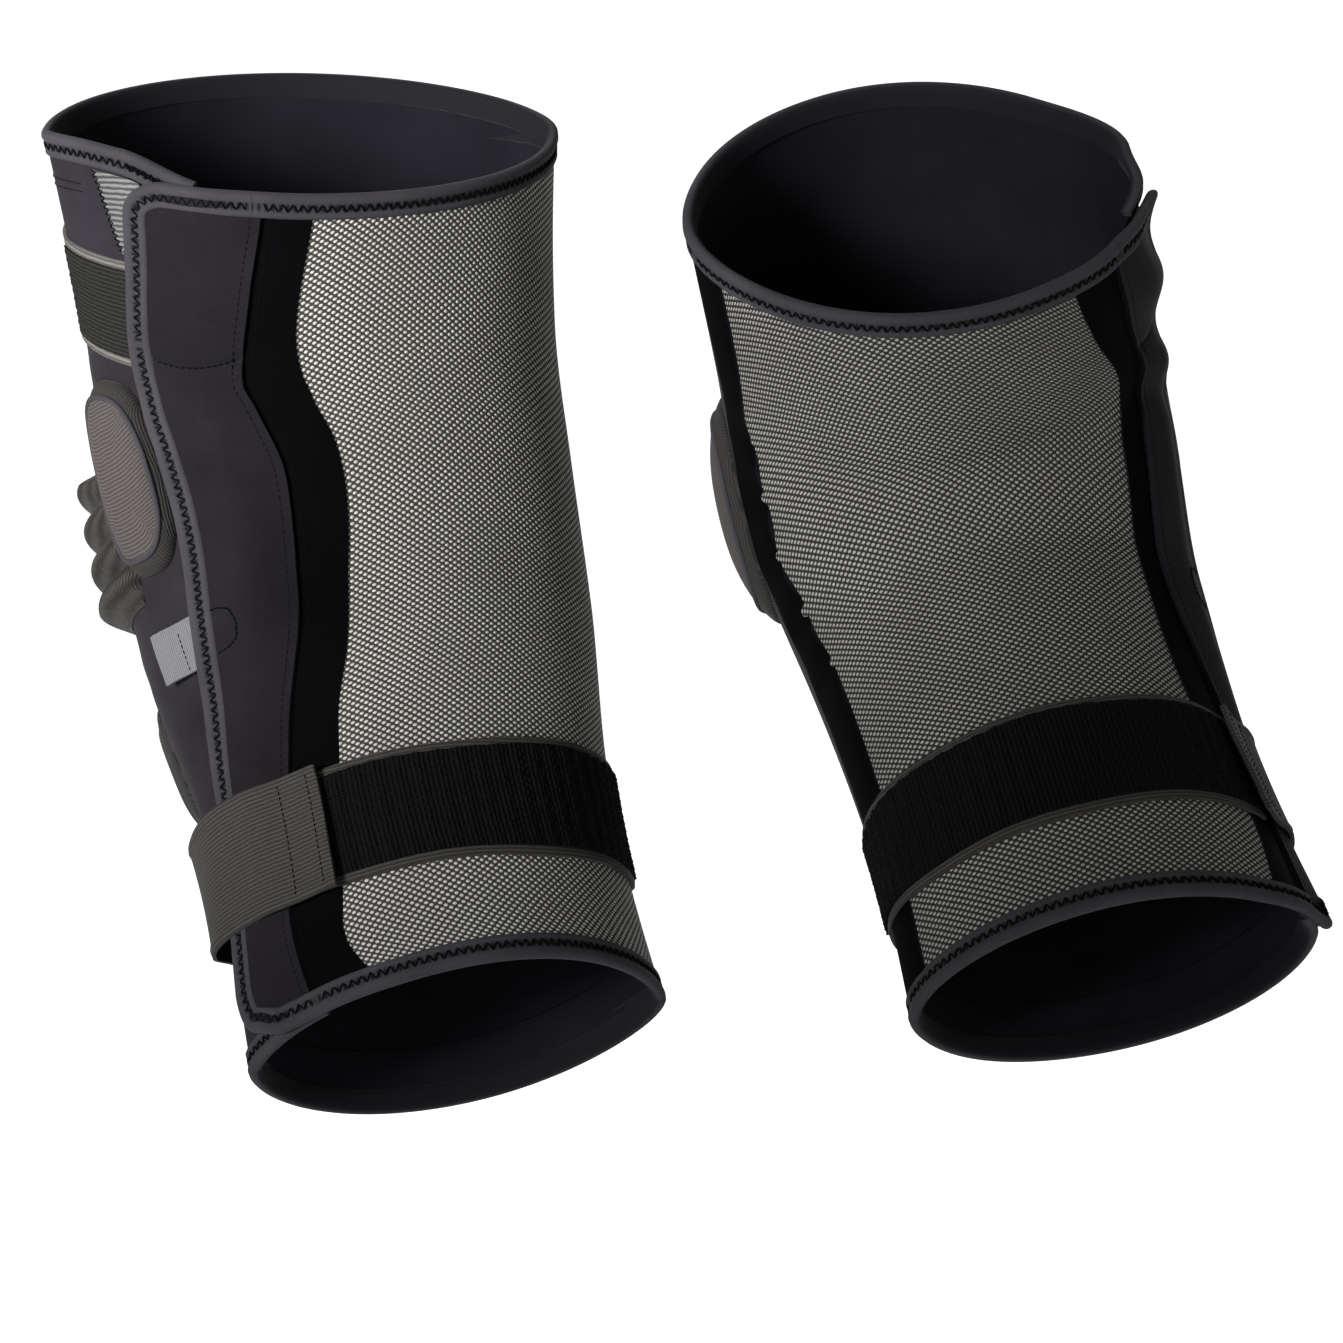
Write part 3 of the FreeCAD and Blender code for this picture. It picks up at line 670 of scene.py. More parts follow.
def make_tape():
    """Charcoal knit tape. Its two ridges are painted lighter as a painted highlight, mottled at random, and
    the groove between them is darker with a chain of stitches and painted shade; the side turned in is as
    dark as the lining. The UV counts the section's points."""
    finish = Finish("binding_tape", 0.85, sheen=0.03, specular=0.05)
    tree = finish.tree
    run, across_tape, _ = parted(tree, finish.place("UV"))
    dye = finish.use(knit, Place=finish.place("Object"), Gauge=0.0008)
    from_groove = maths(tree, "ABSOLUTE", maths(tree, "SUBTRACT", across_tape, 4.6))
    chain = maths(tree, "SINE", maths(tree, "MULTIPLY", run, 2.4))
    stitched = maths(tree, "MULTIPLY_ADD", chain, 0.5, 0.5)
    # Painted highlight on the ridges, mottled at random, and painted shade in the groove beside the real dark
    # stitches.
    highlight_mottle = maths(tree, "MULTIPLY_ADD", dye.outputs["Blotch"], 0.7,
                 maths(tree, "MULTIPLY", dye.outputs["Height"], 0.6))
    painted_ridge_highlight = finish.mixed(highlight_mottle, (0.0035, 0.0033, 0.0039), (0.034, 0.032, 0.037))
    sunk = finish.mixed(stitched, (0.0028, 0.0028, 0.0032), (0.020, 0.0192, 0.0220))
    shown = finish.mixed(ranged(tree, from_groove, 0.5, 1.7), sunk, painted_ridge_highlight)
    finish.colour(finish.mixed(ranged(tree, across_tape, 10.5, 12.0), shown, (0.0060, 0.0058, 0.0075)))
    finish.bump(dye.outputs["Height"], 0.9, 0.0004)
    return finish.material


def thread_along(name, guard, t, psi, off, finish, swing=0.0, pitch=3.2, radius=0.3, gap=0.3):
    """Stitches along a line on the sleeve: the thread swings `swing` to each side every half pitch, or with
    no swing makes dashes. Each stitch is a small six-sided spindle."""
    points = guard.at(t, psi, off)
    run = np.concatenate([[0], np.cumsum(np.linalg.norm(np.diff(points, axis=0), axis=1))]) * 1000
    count = max(int(run[-1] / (pitch if swing == 0 else pitch / 2)), 2)
    ends = np.linspace(0, run[-1], count + 1)
    step_t, step_psi = edge_frame(guard, t, psi)
    sway = np.where(np.arange(count + 1) % 2 == 0, swing, -swing)
    pick = lambda values: np.interp(ends, run, values)
    where_t = pick(t) + sway * pick(step_t)
    where_psi = pick(psi) + sway * pick(step_psi)
    stops = guard.at(where_t, where_psi, pick(np.broadcast_to(off, t.shape)))
    first, last = stops[:-1], stops[1:]
    if swing == 0:
        last = first + (last - first) * (1 - gap)
    along = last - first
    outward = guard.at(where_t, where_psi, 9) - guard.at(where_t, where_psi, 8)
    outward = outward[:-1] / np.linalg.norm(outward[:-1], axis=1)[:, None]
    aside = np.cross(along, outward)
    aside /= np.linalg.norm(aside, axis=1)[:, None]
    turn = np.arange(6) * math.pi / 3
    share = np.array([0.0, 0.18, 0.82, 1.0])
    girth = np.array([0.35, 1.0, 1.0, 0.35]) * radius / 1000
    ring = (np.cos(turn)[:, None] * aside[:, None, None, :]
            + np.sin(turn)[:, None] * outward[:, None, None, :])
    body = (first[:, None, None, :] + along[:, None, None, :] * share[:, None, None]
            + ring * girth[:, None, None])
    one = tube_faces(4, 6)
    faces = (one[None] + (np.arange(count) * 24)[:, None, None]).reshape(-1, 4).tolist()
    caps = (np.arange(count) * 24)[:, None] + np.arange(6)[None, ::-1]
    faces += caps.tolist() + (caps[:, ::-1] + 18).tolist()
    piece = new_piece(name, body, np.array(faces, dtype=object), [finish])
    face_outwards(piece)
    return piece


tape = make_tape()
# dull black polyester
thread = knitted("thread", 0.8, 0.02, 0.0006, "Height", (0.0006, 0.0006, 0.0007), (0.0030, 0.0029, 0.0032),
                 0.5, 0.0001)
stitch_in = 4.4
groove_height = 3.3
flap_base_lift = panel + 0.15


def hem_path(level, first, last, count):
    """Points (t, psi) along a hem, whose t is a function of psi."""
    psi = np.linspace(first, last, count)
    return level(psi), psi


def tape_and_stitch(name, guard, t, psi, base, side, fasten, slot, *nodes):
    """A bound edge with its zigzag, both fastened the same way."""
    piece = bound_edge(guard.name + "_" + name, guard, t, psi, base, tape, side)
    fasten(piece, guard, slot, *nodes)
    step_t, step_psi = edge_frame(guard, t, psi)
    row_t, row_psi = t + side * step_t * stitch_in, psi + side * step_psi * stitch_in
    keep = slice(2, -2)
    stitches = thread_along(guard.name + "_" + name + "_zigzag", guard, row_t[keep], row_psi[keep],
                            (base + groove_height)[keep], thread, swing=1.5, pitch=3.6, radius=0.34)
    fasten(stitches, guard, slot)


for guard in guards:
    edge = rounded_edge(guard)
    t, psi = hem_path(guard.top, medial_seam, 34, 110)
    base = flap_base_lift * smooth((psi - 5) / 29)
    tape_and_stitch("top_hem_back", guard, t, psi, base, 1, across_knee, "binding", "thigh_top_binding")
    t, psi = hem_path(guard.front_top, 47, front_end, 170)
    tape_and_stitch("top_hem_front", guard, t, psi, 0 * psi, 1, across_knee, "binding")
    t, psi = hem_path(guard.bottom, medial_seam, 58, 130)
    base = flap_base_lift * smooth((psi - 30) / 28)
    tape_and_stitch("bottom_hem_back", guard, t, psi, base, -1, across_knee, "binding", "calf_hem_binding")
    t, psi = hem_path(guard.bottom, 57, front_end, 170)
    tape_and_stitch("bottom_hem_front", guard, t, psi, 0 * psi, -1, across_knee, "binding")
    corner = float(guard.top(66))
    down = corner - corner_round * (1 - np.cos(np.linspace(0, 0.5 * math.pi, 16)))
    psi = edge(down)
    down += (guard.top(psi[0]) - corner) * np.linspace(1, 0, len(down))
    t = np.concatenate([down, np.linspace(down[-1], cross_line(75.0), 40)[1:]])
    psi = np.concatenate([psi, guard.flap_edge(t[len(psi):])])
    start = np.linspace(34, psi[0], 30)[:-1]
    t, psi = np.concatenate([guard.top(start), t]), np.concatenate([start, psi])
    tape_and_stitch("flap_edge_upper", guard, t, psi, flap_lift(guard, t, psi), 1, on_flap_corner, "binding",
                    "upper_flap_binding")
    t = np.linspace(cross_line(75.0), -223, 210)
    psi = guard.flap_edge(t)
    keep = t > flap_bottom(guard, psi) + 10
    t, psi = t[keep], psi[keep]
    turn = np.linspace(0, 0.5 * math.pi, 14)[1:]
    foot = psi[-1] - 9
    t = np.concatenate([t, t[-1] + (flap_bottom(guard, foot) - t[-1]) * np.sin(turn)])
    psi = np.concatenate([psi, psi[-1] - 9 * (1 - np.cos(turn))])
    turn_in = np.linspace(foot, 58, 60)[1:]
    t, psi = np.concatenate([t, flap_bottom(guard, turn_in)]), np.concatenate([psi, turn_in])
    tape_and_stitch("flap_edge_lower", guard, t, psi, flap_lift(guard, t, psi), 1, across_knee, "binding",
                    "lower_flap_binding")


# ---- Seams on the flap and the front -----------------------------------------------------------------------
# A row of stitches runs down each side of the flap's rear seam, and its cross seam is top-stitched. A small
# bar of stitches beside its front edge holds the pull tab's root. Two rows hold the facing under the front's
# top hem, and one row the facing inside its foot.

def row_of(name, guard, t, psi, off, fasten, slot="binding", **stitch):
    """A row of stitches on the sleeve, fastened to whatever it is sewn through."""
    piece = thread_along(guard.name + "_" + name, guard, t, psi, off, thread, **stitch)
    fasten(piece, guard, slot)


def along_corners(corners, count):
    """Evenly shared-out values on the way from each corner's value to the next."""
    return np.interp(np.linspace(0, len(corners) - 1, count), np.arange(len(corners)), corners)


for guard in guards:
    top_of_seam = float(guard.top(34)) - 8
    t = np.linspace(float(guard.bottom(58)) + 9, top_of_seam, 200)
    behind, before = guard.flap_seam(t) - 2.4, guard.flap_seam(t) + 2.2
    row_of("flap_seam_row", guard, t, behind, panel + 0.75, across_knee, radius=0.22, pitch=2.6)
    row_of("flap_seam_second_row", guard, t, before, flap_lift(guard, t, before) + flap_cloth + 0.2,
           across_knee, radius=0.2, pitch=2.6)
    psi = np.linspace(guard.flap_seam(66) + 1.5, guard.flap_edge(74) - 7, 40)
    t = cross_line(psi)
    row_of("cross_seam_row", guard, t, psi, flap_face(guard, t, psi) + 0.15, across_knee, radius=0.34,
           pitch=2.3, gap=0.25)
    bar_psi = np.array([61, 57.5, 54.5, 53.5, 54.5, 57.5, 61])
    bar_t = np.array([-62, -62, -64, -70, -76, -78.5, -79])
    t, psi = along_corners(bar_t, 60), along_corners(bar_psi, 60)
    row_of("tab_bar_row", guard, t, psi, flap_face(guard, t, psi) + 0.15, across_knee, radius=0.38, pitch=1.9,
           gap=0.15)
    psi = np.linspace(82, 116, 60)
    for row, drop in (("twin_row_high", 12.5), ("twin_row_low", 15.5)):
        row_of(row, guard, guard.front_top(psi) - drop - 4, psi, panel + 0.2, across_knee, radius=0.22,
               pitch=2.0, gap=0.35)
    psi = np.linspace(100, 250, 200)
    row_of("lower_facing_row", guard, guard.bottom(psi) + 24, psi, -0.25, across_knee, radius=0.25, pitch=2.6)


# ---- Inner band -------------------------------------------------------------------------------------------
# A dark strip covers the seam where the mesh meets the front panel on the inner side. It is narrow on the
# left guard and wide on the right one, and is cut loose, so it puckers into short ruffles at the knee.

for guard in guards:
    def strip_edge(t):
        return guard.inner_edge(t) + 0.5 * guard.ruffle * np.sin(t / 7.0) * smooth((90 - np.abs(t)) / 40)

    def puckered(t, psi):
        share = (psi - medial_seam) / (guard.inner_edge(t) - medial_seam)
        swell = 0.5 * guard.ruffle * np.sin(t / 5.0) * smooth((100 - np.abs(t + 10)) / 50)
        return panel + 0.9 + swell * share

    lines = ((medial_seam - 2, strip_edge),
             (lambda psi: guard.bottom(psi) + 7, lambda psi: guard.top(psi) - 7))
    piece = cloth("inner_band", guard, lines, panel - 0.3, puckered, [band_knit, lining],
                  170, 14)
    across_knee(piece, guard, "neoprene")


# ---- Thigh strap ------------------------------------------------------------------------------------------
# A 40 mm grey elastic is sewn across the front of the thigh. Its outer end lies under the flap's corner and
# carries black loop pile for the corner's hooks, stitched down inside a narrow border of bare elastic.

def make_ribs():
    """Straight ribs, 0 in the valleys and 1 on the crests, wavering and roughened by noise."""
    tree, begin, end = group("ribs", [("Run", "Float"), ("Pitch", "Float"), ("Place", "Vector")],
                             [("Height", "Float")])
    waver = noise(tree, begin.outputs["Place"], 260.0, 2.0)
    fine = noise(tree, begin.outputs["Place"], 1500.0, 2.0)
    cycles = maths(tree, "MULTIPLY_ADD", waver, 0.35,
                   maths(tree, "DIVIDE", begin.outputs["Run"], begin.outputs["Pitch"]))
    swing = maths(tree, "COSINE", maths(tree, "MULTIPLY", cycles, full_turn))
    crest = maths(tree, "MULTIPLY_ADD", swing, 0.5, 0.5)
    tree.links.new(maths(tree, "MULTIPLY_ADD", fine, 0.45, maths(tree, "MULTIPLY", crest, 0.55)),
                   end.inputs["Height"])
    return tree


ribs = make_ribs()


def ribbed(name, dark, light, axis, pitch, roughness=0.8, sheen=0.03, strength=0.7, depth=0.0005):
    """A cloth with ribs at one pitch along its UV: axis 0 counts along the grid's rows, 1 up its columns."""
    finish = Finish(name, roughness, sheen=sheen, specular=0.06)
    rib = finish.ribs_along(axis, pitch)
    finish.colour(finish.mixed(rib, dark, light))
    finish.bump(rib, strength, depth)
    return finish.material


elastic = ribbed("grey_elastic", (0.0110, 0.0105, 0.0095), (0.098, 0.092, 0.084), 1, 2.05)
calf_elastic = ribbed("calf_elastic", (0.0040, 0.0038, 0.0035), (0.039, 0.0370, 0.0340), 1, 1.5,
                      strength=0.6, depth=0.0004)
pile = ribbed("loop_pile", (0.0003, 0.0003, 0.0003), (0.0038, 0.0038, 0.0037), 0, 1.9, roughness=1.0,
              sheen=0.0, strength=1.0, depth=0.0010)
worn_pile = ribbed("worn_pile", (0.0010, 0.0010, 0.0010), (0.0170, 0.0165, 0.0155), 1, 1.7, roughness=1.0,
                   sheen=0.0, strength=0.8, depth=0.0008)


def fuzzy(amount):
    """Height of loop pile above its backing: crowded soft tufts made of crossed waves."""
    return lambda t, psi: amount * (np.sin(t * 2.1 + np.sin(psi * 1.7)) * np.sin(psi * 2.6 + np.sin(t * 1.3)))


strap_width, pile_border, on_panel = 40.0, 3.2, panel + 0.15
for guard in guards:
    low_side = lambda psi: guard.wave((70, -14, 0), psi) + 2
    high_side = lambda psi: low_side(psi) + strap_width
    lines = ((61, 190), (low_side, high_side))
    piece = cloth("thigh_elastic", guard, lines, on_panel, on_panel + 1.2, [elastic], 16, 90)
    across_knee(piece, guard, "elastic", "thigh_strap")
    lines = ((62, 102), (lambda psi: low_side(psi) + pile_border, lambda psi: high_side(psi) - pile_border))
    face = lambda t, psi: on_panel + 2.0 + fuzzy(0.22)(t, psi)
    piece = cloth("thigh_pile", guard, lines, on_panel + 1.1, face, [worn_pile], 64, 110)
    across_knee(piece, guard, "loop_pile", "thigh_strap_loop")


# ---- Ribbed strip -----------------------------------------------------------------------------------------
# A small wedge of rubber-ribbed grip tape is sewn above the thigh strap, under the flap's corner: white ribs
# on a dark backing. A zigzag holds its front side.

def make_grip():
    """White rubber ribs over a dark backing, two millimetres apart."""
    finish = Finish("grip_ribs", 0.5, specular=0.4)
    rib = finish.ribs_along(1, 2.1)
    rubber = ranged(finish.tree, rib, 0.42, 0.56)
    finish.colour(finish.mixed(rubber, (0.008, 0.008, 0.009), (0.062, 0.062, 0.061)))
    finish.bump(rib, 0.8, 0.0005)
    return finish.material


grip = make_grip()


def wedge_side(t):
    """The wedge's front side, which slants forwards as it rises."""
    return 70.0 + 4.5 * (t - 104) / 30


for guard in guards:
    low_side = lambda psi: guard.wave((70, -14, 0), psi) + 2 + strap_width + 3
    lines = ((61, wedge_side), (low_side, lambda psi: guard.front_top(psi) - 9.5))
    piece = cloth("grip_wedge", guard, lines, on_panel, on_panel + 0.5, [grip], 40, 16)
    across_knee(piece, guard, "rib_strip", "thigh_rib_strip")
    t = np.linspace(float(low_side(75)), float(guard.front_top(78)) - 10, 40)
    row_of("grip_zigzag", guard, t, wedge_side(t), on_panel + 0.6, across_knee, swing=1.1, pitch=2.4,
           radius=0.28)


# ---- Pull tab ---------------------------------------------------------------------------------------------
# A tab of pale grey webbing sticks out from under the flap's front edge, so that the flap can be pulled open.
# It is sewn across once and its end turns up a little.

webbing = ribbed("tab_webbing", (0.040, 0.040, 0.042), (0.115, 0.114, 0.118), 0, 0.9, roughness=0.6,
                 strength=0.5, depth=0.0003)
for guard in guards:
    lifted = lambda t, psi: flap_height - 1.4 + 2.6 * smooth((psi - 72) / 12)
    lines = ((61, 83), (-79, -58))
    piece = cloth("tab", guard, lines, lifted, lambda t, psi: lifted(t, psi) + 1.0, [webbing],
                  12, 20)
    across_knee(piece, guard, "webbing", "pull_tab")
    t = np.linspace(-78, -62, 24)
    psi = np.full_like(t, 73.5)
    row_of("tab_row", guard, t, psi, lifted(t, psi) + 1.05, across_knee, radius=0.25, pitch=2.2)


# ---- Pads -------------------------------------------------------------------------------------------------
# Four foam pads sit on each front panel: the knee cup, one on each side of the knee, and one on the shin.
# Each has a taupe ribbed face, a black ribbed wall and a piped edge.

taupe = ribbed("pad_face", (0.0100, 0.0090, 0.0085), (0.058, 0.051, 0.048), 1, 1.5, strength=0.6,
               depth=0.0004)
wall_rib = ribbed("pad_wall", (0.0045, 0.0045, 0.0045), (0.0260, 0.0245, 0.0230), 0, 1.3, strength=0.7,
                  depth=0.0005)
pad_points = 41
face_ring = 7
fill_frames = 20


def pad_grid(guard, psi_range, t_range, corner_power):
    """A grid over a pad with rounded corners. Each square ring of the grid is drawn in to a ring on which the
    corner_power-th powers of both coordinates add up to one number. A range under 60 degrees is counted from
    the flap's front edge, and narrows towards its foot."""
    side = np.sin(np.linspace(-1, 1, pad_points) * math.pi / 2)
    b, a = np.meshgrid(side, side, indexing="ij")
    ring = np.maximum(np.abs(a), np.abs(b))
    drawn = ring / ((np.abs(a) ** corner_power + np.abs(b) ** corner_power) ** (1 / corner_power) + 1e-9)
    psi = sum(psi_range) / 2 + (psi_range[1] - psi_range[0]) / 2 * a * drawn
    t = sum(t_range) / 2 + (t_range[1] - t_range[0]) / 2 * b * drawn
    if psi_range[1] < 60:
        psi += guard.flap_edge(t) - 4.0 * (a + 1) / 2 * (1 - b) / 2
    return t, psi, ring


def make_pad(name, guard, psi_range, t_range, rise, crown, corner_power, edge_power, channels):
    """A pad's closed form: a wall, steeper with a higher edge_power, a crowned top, and sunk channels across
    it at the given heights."""
    t, psi, ring = pad_grid(guard, psi_range, t_range, corner_power)
    wall = np.sqrt(1 - ring ** edge_power)
    high = panel + 1.2 + (rise - 1) * wall + crown * (1 - ring ** 3)
    for height in channels:
        high -= 2.6 * np.exp(-((t - height) / 2.4) ** 2) * wall
    low = np.full_like(high, panel + 0.2)
    middle = (ring[:-1, :-1] + ring[1:, 1:] + ring[1:, :-1] + ring[:-1, 1:]) / 4
    which = np.where(middle > ring[face_ring, pad_points // 2], 1, 0).ravel()
    return slab(guard.name + "_" + name, guard, t, psi, low, high, [taupe, wall_rib], which)


def grid_ring(depth):
    """Point numbers round the square ring that lies `depth` steps inside a pad's border."""
    number = np.arange(pad_points * pad_points).reshape(pad_points, pad_points)
    inside = number[depth:pad_points - depth, depth:pad_points - depth]
    return np.concatenate([inside[0, :-1], inside[:-1, -1], inside[-1, :0:-1], inside[:0:-1, 0]])


def points_of(piece, what="co"):
    """Each point's place in metres, or with what="normal" its outward direction."""
    values = np.empty(len(piece.data.vertices) * 3, np.float32)
    piece.data.vertices.foreach_get(what, values)
    return values.reshape(-1, 3).astype(float)


def blow_up(pieces, cap):
    """Fills every pad with air for twenty frames as cloth held at its foot, then keeps each point's move,
    cut to `cap` metres."""
    for piece in pieces:
        foot = np.concatenate([grid_ring(0), np.arange(pad_points ** 2, 2 * pad_points ** 2)])
        piece.vertex_groups.new(name="foot").add(foot.tolist(), 1.0, "REPLACE")
        blown = piece.modifiers.new("fill", "CLOTH")
        blown.settings.use_pressure = True
        blown.settings.uniform_pressure_force = 4.0
        blown.settings.effector_weights.gravity = 0.0
        blown.settings.vertex_group_mass = "foot"
        blown.point_cache.frame_end = fill_frames
    for number in range(1, fill_frames + 1):
        bpy.context.scene.frame_set(number)
    graph = bpy.context.evaluated_depsgraph_get()
    for piece in pieces:
        rest, full = points_of(piece), points_of(piece.evaluated_get(graph))
        move = full - rest
        size = np.linalg.norm(move, axis=1)[:, None]
        move *= np.minimum(1, cap / np.maximum(size, 1e-9))
        piece.modifiers.clear()
        piece.data.vertices.foreach_set("co", (rest + move).astype(np.float32).ravel())
        piece.data.update()
    bpy.context.scene.frame_set(1)


def piping(name, points, outward, radius, finish, sides=8):
    """A cord laid round a closed path: circles in the plane of the outward and the sideways direction."""
    along = np.roll(points, -1, axis=0) - np.roll(points, 1, axis=0)
    aside = np.cross(along, outward)
    aside /= np.linalg.norm(aside, axis=1)[:, None]
    turn = np.arange(sides) * 2 * math.pi / sides
    tube = (points[:, None] + radius * (np.cos(turn)[:, None] * aside[:, None]
                                        + np.sin(turn)[:, None] * outward[:, None]))
    number = np.arange(len(points) * sides).reshape(-1, sides)
    below, right = np.roll(number, -1, axis=0), np.roll(number, -1, axis=1)
    faces = np.stack([number, right, np.roll(below, -1, axis=1), below], -1).reshape(-1, 4)
    piece = new_piece(name, tube, faces, [finish])
    face_outwards(piece)
    return piece


pad_sizes = [("knee_cup", "cup", (136, 214), (-48, 44), 6, 8, 4, 8, (-14, 14)),
             ("lateral_side_pad", "outer_pad", (2.5, 31), (-30, 58), 6.5, 3.0, 3, 5, ()),
             ("medial_side_pad", "inner_pad", (222, 258), (-26, 52), 6, 4.0, 2.6, 2, ()),
             ("shin_pad", "shin", (120, 230), (-122, -58), 4, 5, 4, 8, ())]
pads = []
for guard in guards:
    for node, name, *form in pad_sizes:
        piece = make_pad(name, guard, *form)
        pads.append((piece, guard, name, node))
blow_up([pad[0] for pad in pads], 0.0014)
piping_radius = 0.0011
for piece, guard, name, node in pads:
    ring = grid_ring(face_ring)
    cord = piping(guard.name + "_" + name + "_piping", points_of(piece)[ring],
                  points_of(piece, "normal")[ring], piping_radius, tape)
    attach(cord, guard.name + "_calf")
    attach(piece, guard.name + "_calf")
    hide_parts(guard.name + "_" + node)


# ---- Gathers ----------------------------------------------------------------------------------------------
# Between the outer pad and the cup the stretch cover is taken up in three soft folds, so that the knee can
# bend. The folds are the same taupe rib, with painted shade darkening their valleys.

def make_gather_rib():
    """Taupe rib on the folds' crests, with painted shade turning their valleys black."""
    finish = Finish("gather_rib", 0.85, sheen=0.03, specular=0.06)
    fold, rib = finish.ribs_along(1, 7.5), finish.ribs_along(0, 1.4)
    # Painted shade: the folds' valleys are painted near-black.
    base = finish.mixed(fold, (0.0040, 0.0040, 0.0038), (0.048, 0.042, 0.038))
    finish.colour(finish.mixed(rib, (0.006, 0.006, 0.0055), base))
    finish.bump(rib, 0.7, 0.0005)
    return finish.material


gather_rib = make_gather_rib()


def folded(t, psi):
    """Three rounded folds that lean with psi, swell in the middle and die away at their ends."""
    ends = np.sqrt(np.sin(math.pi * np.clip((psi - 87) / 44, 0, 1)) + 1e-6)
    level = (t + 0.22 * (psi - 109) + 40) / 15
    lump = np.abs(np.sin(math.pi * level)) ** 0.6
    fade = smooth((t + 40) / 7) * smooth((22 - t) / 6)
    return panel + 0.8 + (3.0 + 8.0 * lump) * ends * fade


for guard in guards:
    lines = ((87, 131), (-40, 22))
    piece = cloth("gathers", guard, lines, panel - 0.6, folded, [gather_rib], 110, 40)
    across_knee(piece, guard, "pad_cover")


# ---- Calf strap -------------------------------------------------------------------------------------------
# A 45 mm elastic runs round the back of the calf, faced with black loop pile inside bare borders. Its other
# end is sewn to the front and comes back over the flap, and its hooked tip presses on to the pile.

calf_low, calf_high = -178.0, -133.0
band_off = panel + 0.15
pile_off = band_off + 1.6


def hump(t):
    """The elastic's long sides are rolled: a bead along each."""
    return 0.5 * (np.exp(-((t - calf_low - 1.5) / 1.2) ** 2) + np.exp(-((t - calf_high + 1.5) / 1.2) ** 2))


def sagging(psi, side):
    """The strap's long sides wander a little, as soft elastic does."""
    return 0.7 * np.sin(np.radians(psi) * 2.3 + side) + 0.35 * np.sin(np.radians(psi) * 7.1 + 2 * side)


def strap_lift(psi):
    """The strap's end lies on the pile, climbs over the flap and comes down to the front panel."""
    on_pile, on_flap, on_front = 6.4, 9.3, panel + 0.4
    return (on_pile + (on_flap - on_pile) * smooth((psi - 55.0) / 14.0)
            - (on_flap - on_front) * smooth((psi - 110.0) / 14.0))


def ripple(t, psi):
    """The tip lifts at its lower corner and the elastic waves slightly along its length."""
    tip = np.exp(-((psi - 45) / 5) ** 2)
    return 0.5 * np.sin(psi / 6.5 + t / 30) + tip * (0.6 + 1.3 * smooth((-140 - t) / 30))


def with_strap_end(piece, guard, slot, *nodes):
    """Looks up the strap's peel joint and the end's reach, which nothing uses, then bakes the piece's
    placement into its points and hides the design's solids that it stands for.
    """
    peel = next(j for j in frame["joints"] if j["name"] == guard.name + "_strap_peel")
    axis, foot = Vector(peel["axis"]), Vector(peel["pos_m"])
    reach = Vector(guard.at(-155, 112, 6)) - foot
    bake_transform(piece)
    return stands_for(piece, guard, slot, *nodes)


hook_tape = ribbed("hook_tape", (0.0025, 0.0025, 0.0025), (0.014, 0.014, 0.015), 0, 1.2, roughness=0.45,
                   sheen=0.0, strength=0.9, depth=0.0006)
for guard in guards:
    def on_calf(piece, guard, slot, *nodes):
        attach(piece, guard.name + "_calf")
        stands_for(piece, guard, slot, *nodes)

    sides = (lambda psi: calf_low + sagging(psi, 0), lambda psi: calf_high + sagging(psi, 2))
    piece = cloth("calf_elastic", guard, ((-130, 54), sides), band_off,
                  lambda t, psi: band_off + 1.4 + hump(t), [calf_elastic], 26, 200)
    on_calf(piece, guard, "elastic", "calf_strap_band")
    inner_sides = (lambda psi: sides[0](psi) + 3.4, lambda psi: sides[1](psi) - 3.2)
    face = lambda t, psi: pile_off + 1.0 + fuzzy(0.26)(t, psi) + 0.25 * np.sin(psi * 1.1)
    piece = cloth("calf_pile", guard, ((-112, 53), inner_sides), pile_off - 0.4, face, [pile],
                  80, 420)
    on_calf(piece, guard, "loop_pile", "calf_strap_loop")
    piece = cloth("strap_root", guard, ((121, 150), (calf_low, calf_high)), panel + 0.1,
                  panel + 1.7, [calf_elastic], 16, 24)
    on_calf(piece, guard, "elastic", "calf_strap_root")
    box_t = np.array([calf_low + 4, calf_high - 4, calf_high - 4, calf_low + 4, calf_low + 4])
    box_psi = np.array([133.0, 133, 147, 147, 133])
    t, psi = along_corners(box_t, 120), along_corners(box_psi, 120)
    row_of("strap_root_box", guard, t, psi, panel + 1.9, on_calf, radius=0.3, pitch=2.8)
    under = lambda t, psi: strap_lift(psi) + ripple(t, psi)
    over = lambda t, psi: under(t, psi) + 1.5 + hump(t)
    piece = cloth("strap_tip", guard, ((45, 128), (calf_low - 1, calf_high + 0.6)), under, over,
                  [calf_elastic], 40, 120)
    with_strap_end(piece, guard, "elastic", "strap_end")
    piece = cloth("strap_hooks", guard, ((46, 57), (calf_low + 4, calf_high - 4)),
                  lambda t, psi: under(t, psi) - 0.9, lambda t, psi: under(t, psi) + 0.1, [hook_tape], 20, 10)
    with_strap_end(piece, guard, "hook", "strap_end_hook")
    t = np.linspace(calf_low + 1.5, calf_high - 1.5, 40)
    for number, place in enumerate((48.0, 57.0)):
        psi = np.full_like(t, place)
        row_of("strap_tip_row_%d" % number, guard, t, psi, over(t, psi) + 0.1, with_strap_end, slot="elastic",
               radius=0.26, pitch=2.1, gap=0.4)
    piece = cloth("corner_hooks", guard, ((56, 63), (98, 112)), flap_height - 1.0,
                  flap_height + 0.1, [hook_tape], 12, 8)
    on_flap_corner(piece, guard, "hook", "upper_flap_hook")


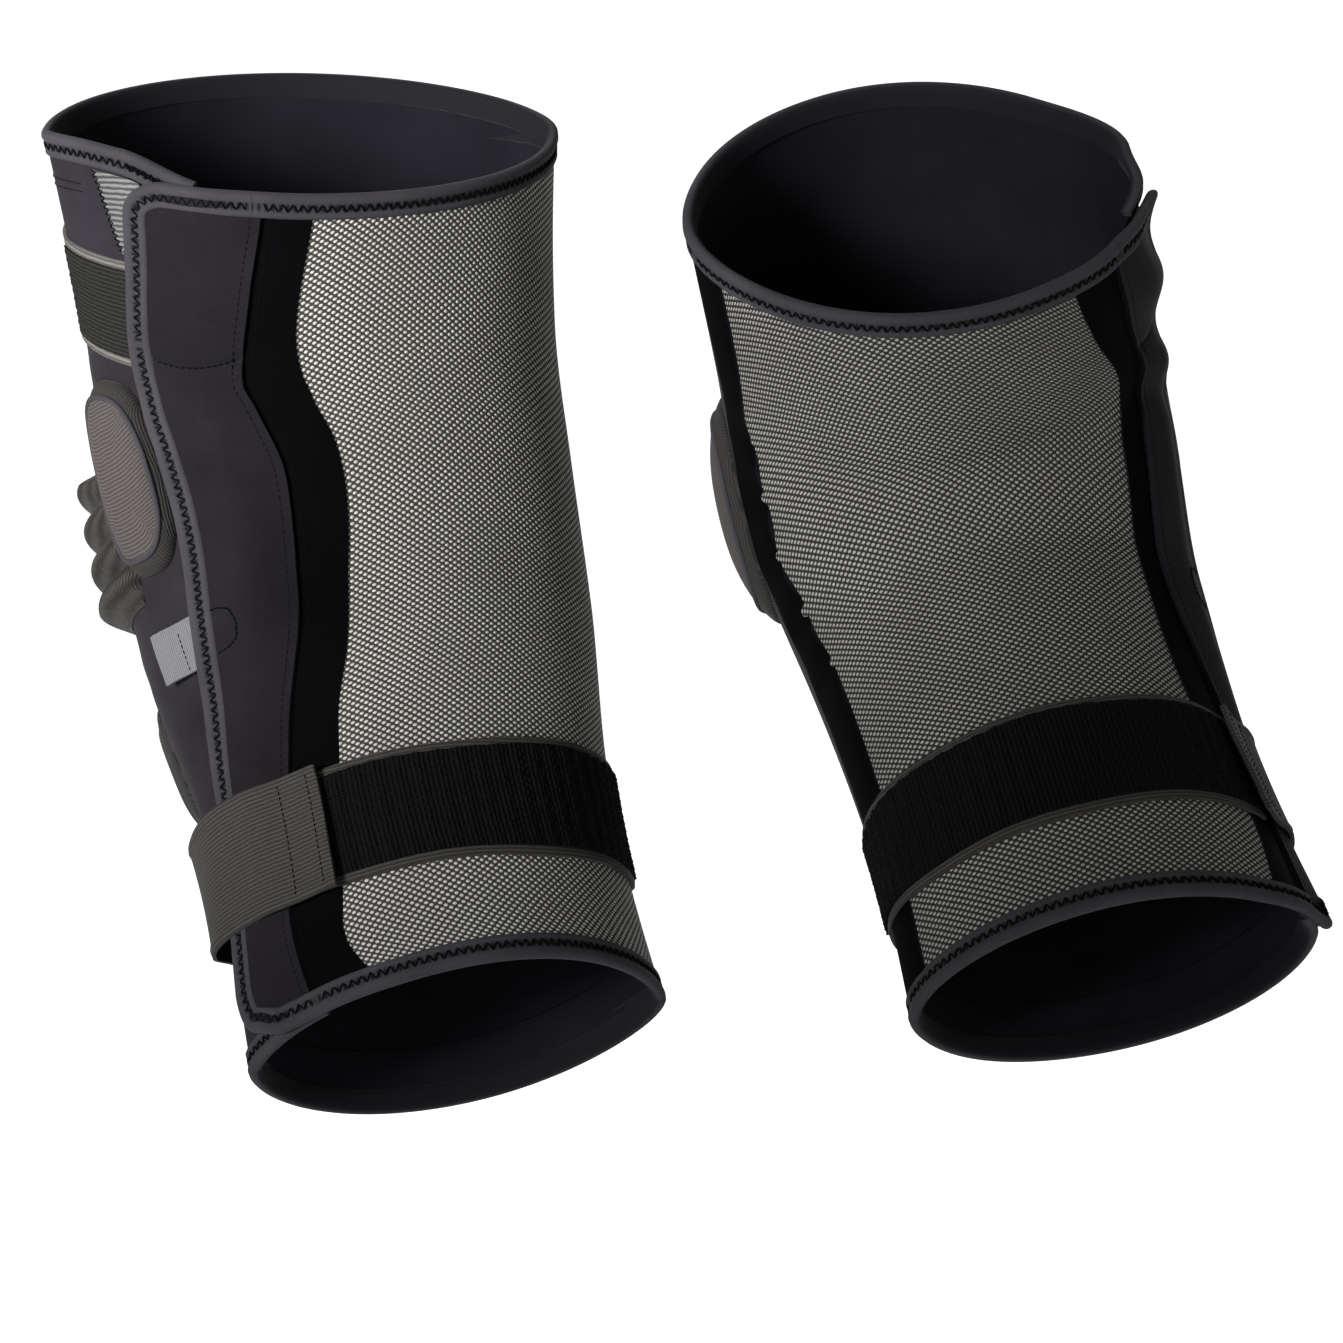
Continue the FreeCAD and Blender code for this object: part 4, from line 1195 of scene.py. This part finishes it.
# ---- Studio ---------------------------------------------------------------------------------------------
# A white sweep, a narrow key from the left, a large fill from the right and a top light. The camera stands
# level behind the pair, a metre and a half away.

def add_light(name, place, aim, size, power, spread=180.0):
    """A square area light at a place in metres, turned to its aim; power in watts, spread in degrees."""
    lamp = bpy.data.lights.new(name, "AREA")
    lamp.shape, lamp.size, lamp.energy = "SQUARE", size, power
    lamp.spread = math.radians(spread)
    light = bpy.data.objects.new(name, lamp)
    light.location = place
    light.rotation_euler = (Vector(aim) - Vector(place)).to_track_quat("-Z", "Y").to_euler()
    bpy.context.scene.collection.objects.link(light)


add_light("key", (-1.0, -1.2, 0.1), (-0.22, 0, 0.12), 0.5, 4.2, 30)
add_light("fill", (2.1, -0.1, 0.5), (0, 0, 0), 1.2, 9)
add_light("top", (-0.1, -0.2, 2.3), (0, 0, 0), 1.4, 7)
world = bpy.data.worlds.new("studio")
world.use_nodes = True
world.node_tree.nodes["Background"].inputs[0].default_value = (1, 1, 1, 1)
world.node_tree.nodes["Background"].inputs[1].default_value = 0.15
bpy.context.scene.world = world

floor_level = cad_box[0][2] - 0.03
across, away = 6.0, np.array([-6.0, 3.0, 3.6, 4.2, 4.6, 4.8, 4.8])
rise = np.array([0.0, 0.0, 0.1, 0.5, 1.1, 2.0, 6.0])
points = np.array([[x, y, floor_level + z] for y, z in zip(away, rise) for x in (-across, across)])
sweep_finish = Finish("white_sweep", 0.9)
sweep_finish.shader.inputs["Base Color"].default_value = (0.9, 0.9, 0.9, 1)
sweep_finish.shader.inputs["Emission Color"].default_value = (1, 1, 1, 1)
sweep_finish.shader.inputs["Emission Strength"].default_value = 0.74
sweep = new_piece("sweep", points, grid_faces(len(away), 2), [sweep_finish.material])

camera = bpy.data.cameras.new("camera")
camera.sensor_width = 36.0
camera.lens = 103.1
eye = bpy.data.objects.new("camera", camera)
eye.location = (0.0082, -1.5, -0.0676)
eye.rotation_euler = (math.pi / 2, 0, 0)
bpy.context.scene.collection.objects.link(eye)
bpy.context.scene.camera = eye
bpy.context.scene.view_settings.view_transform = "Standard"
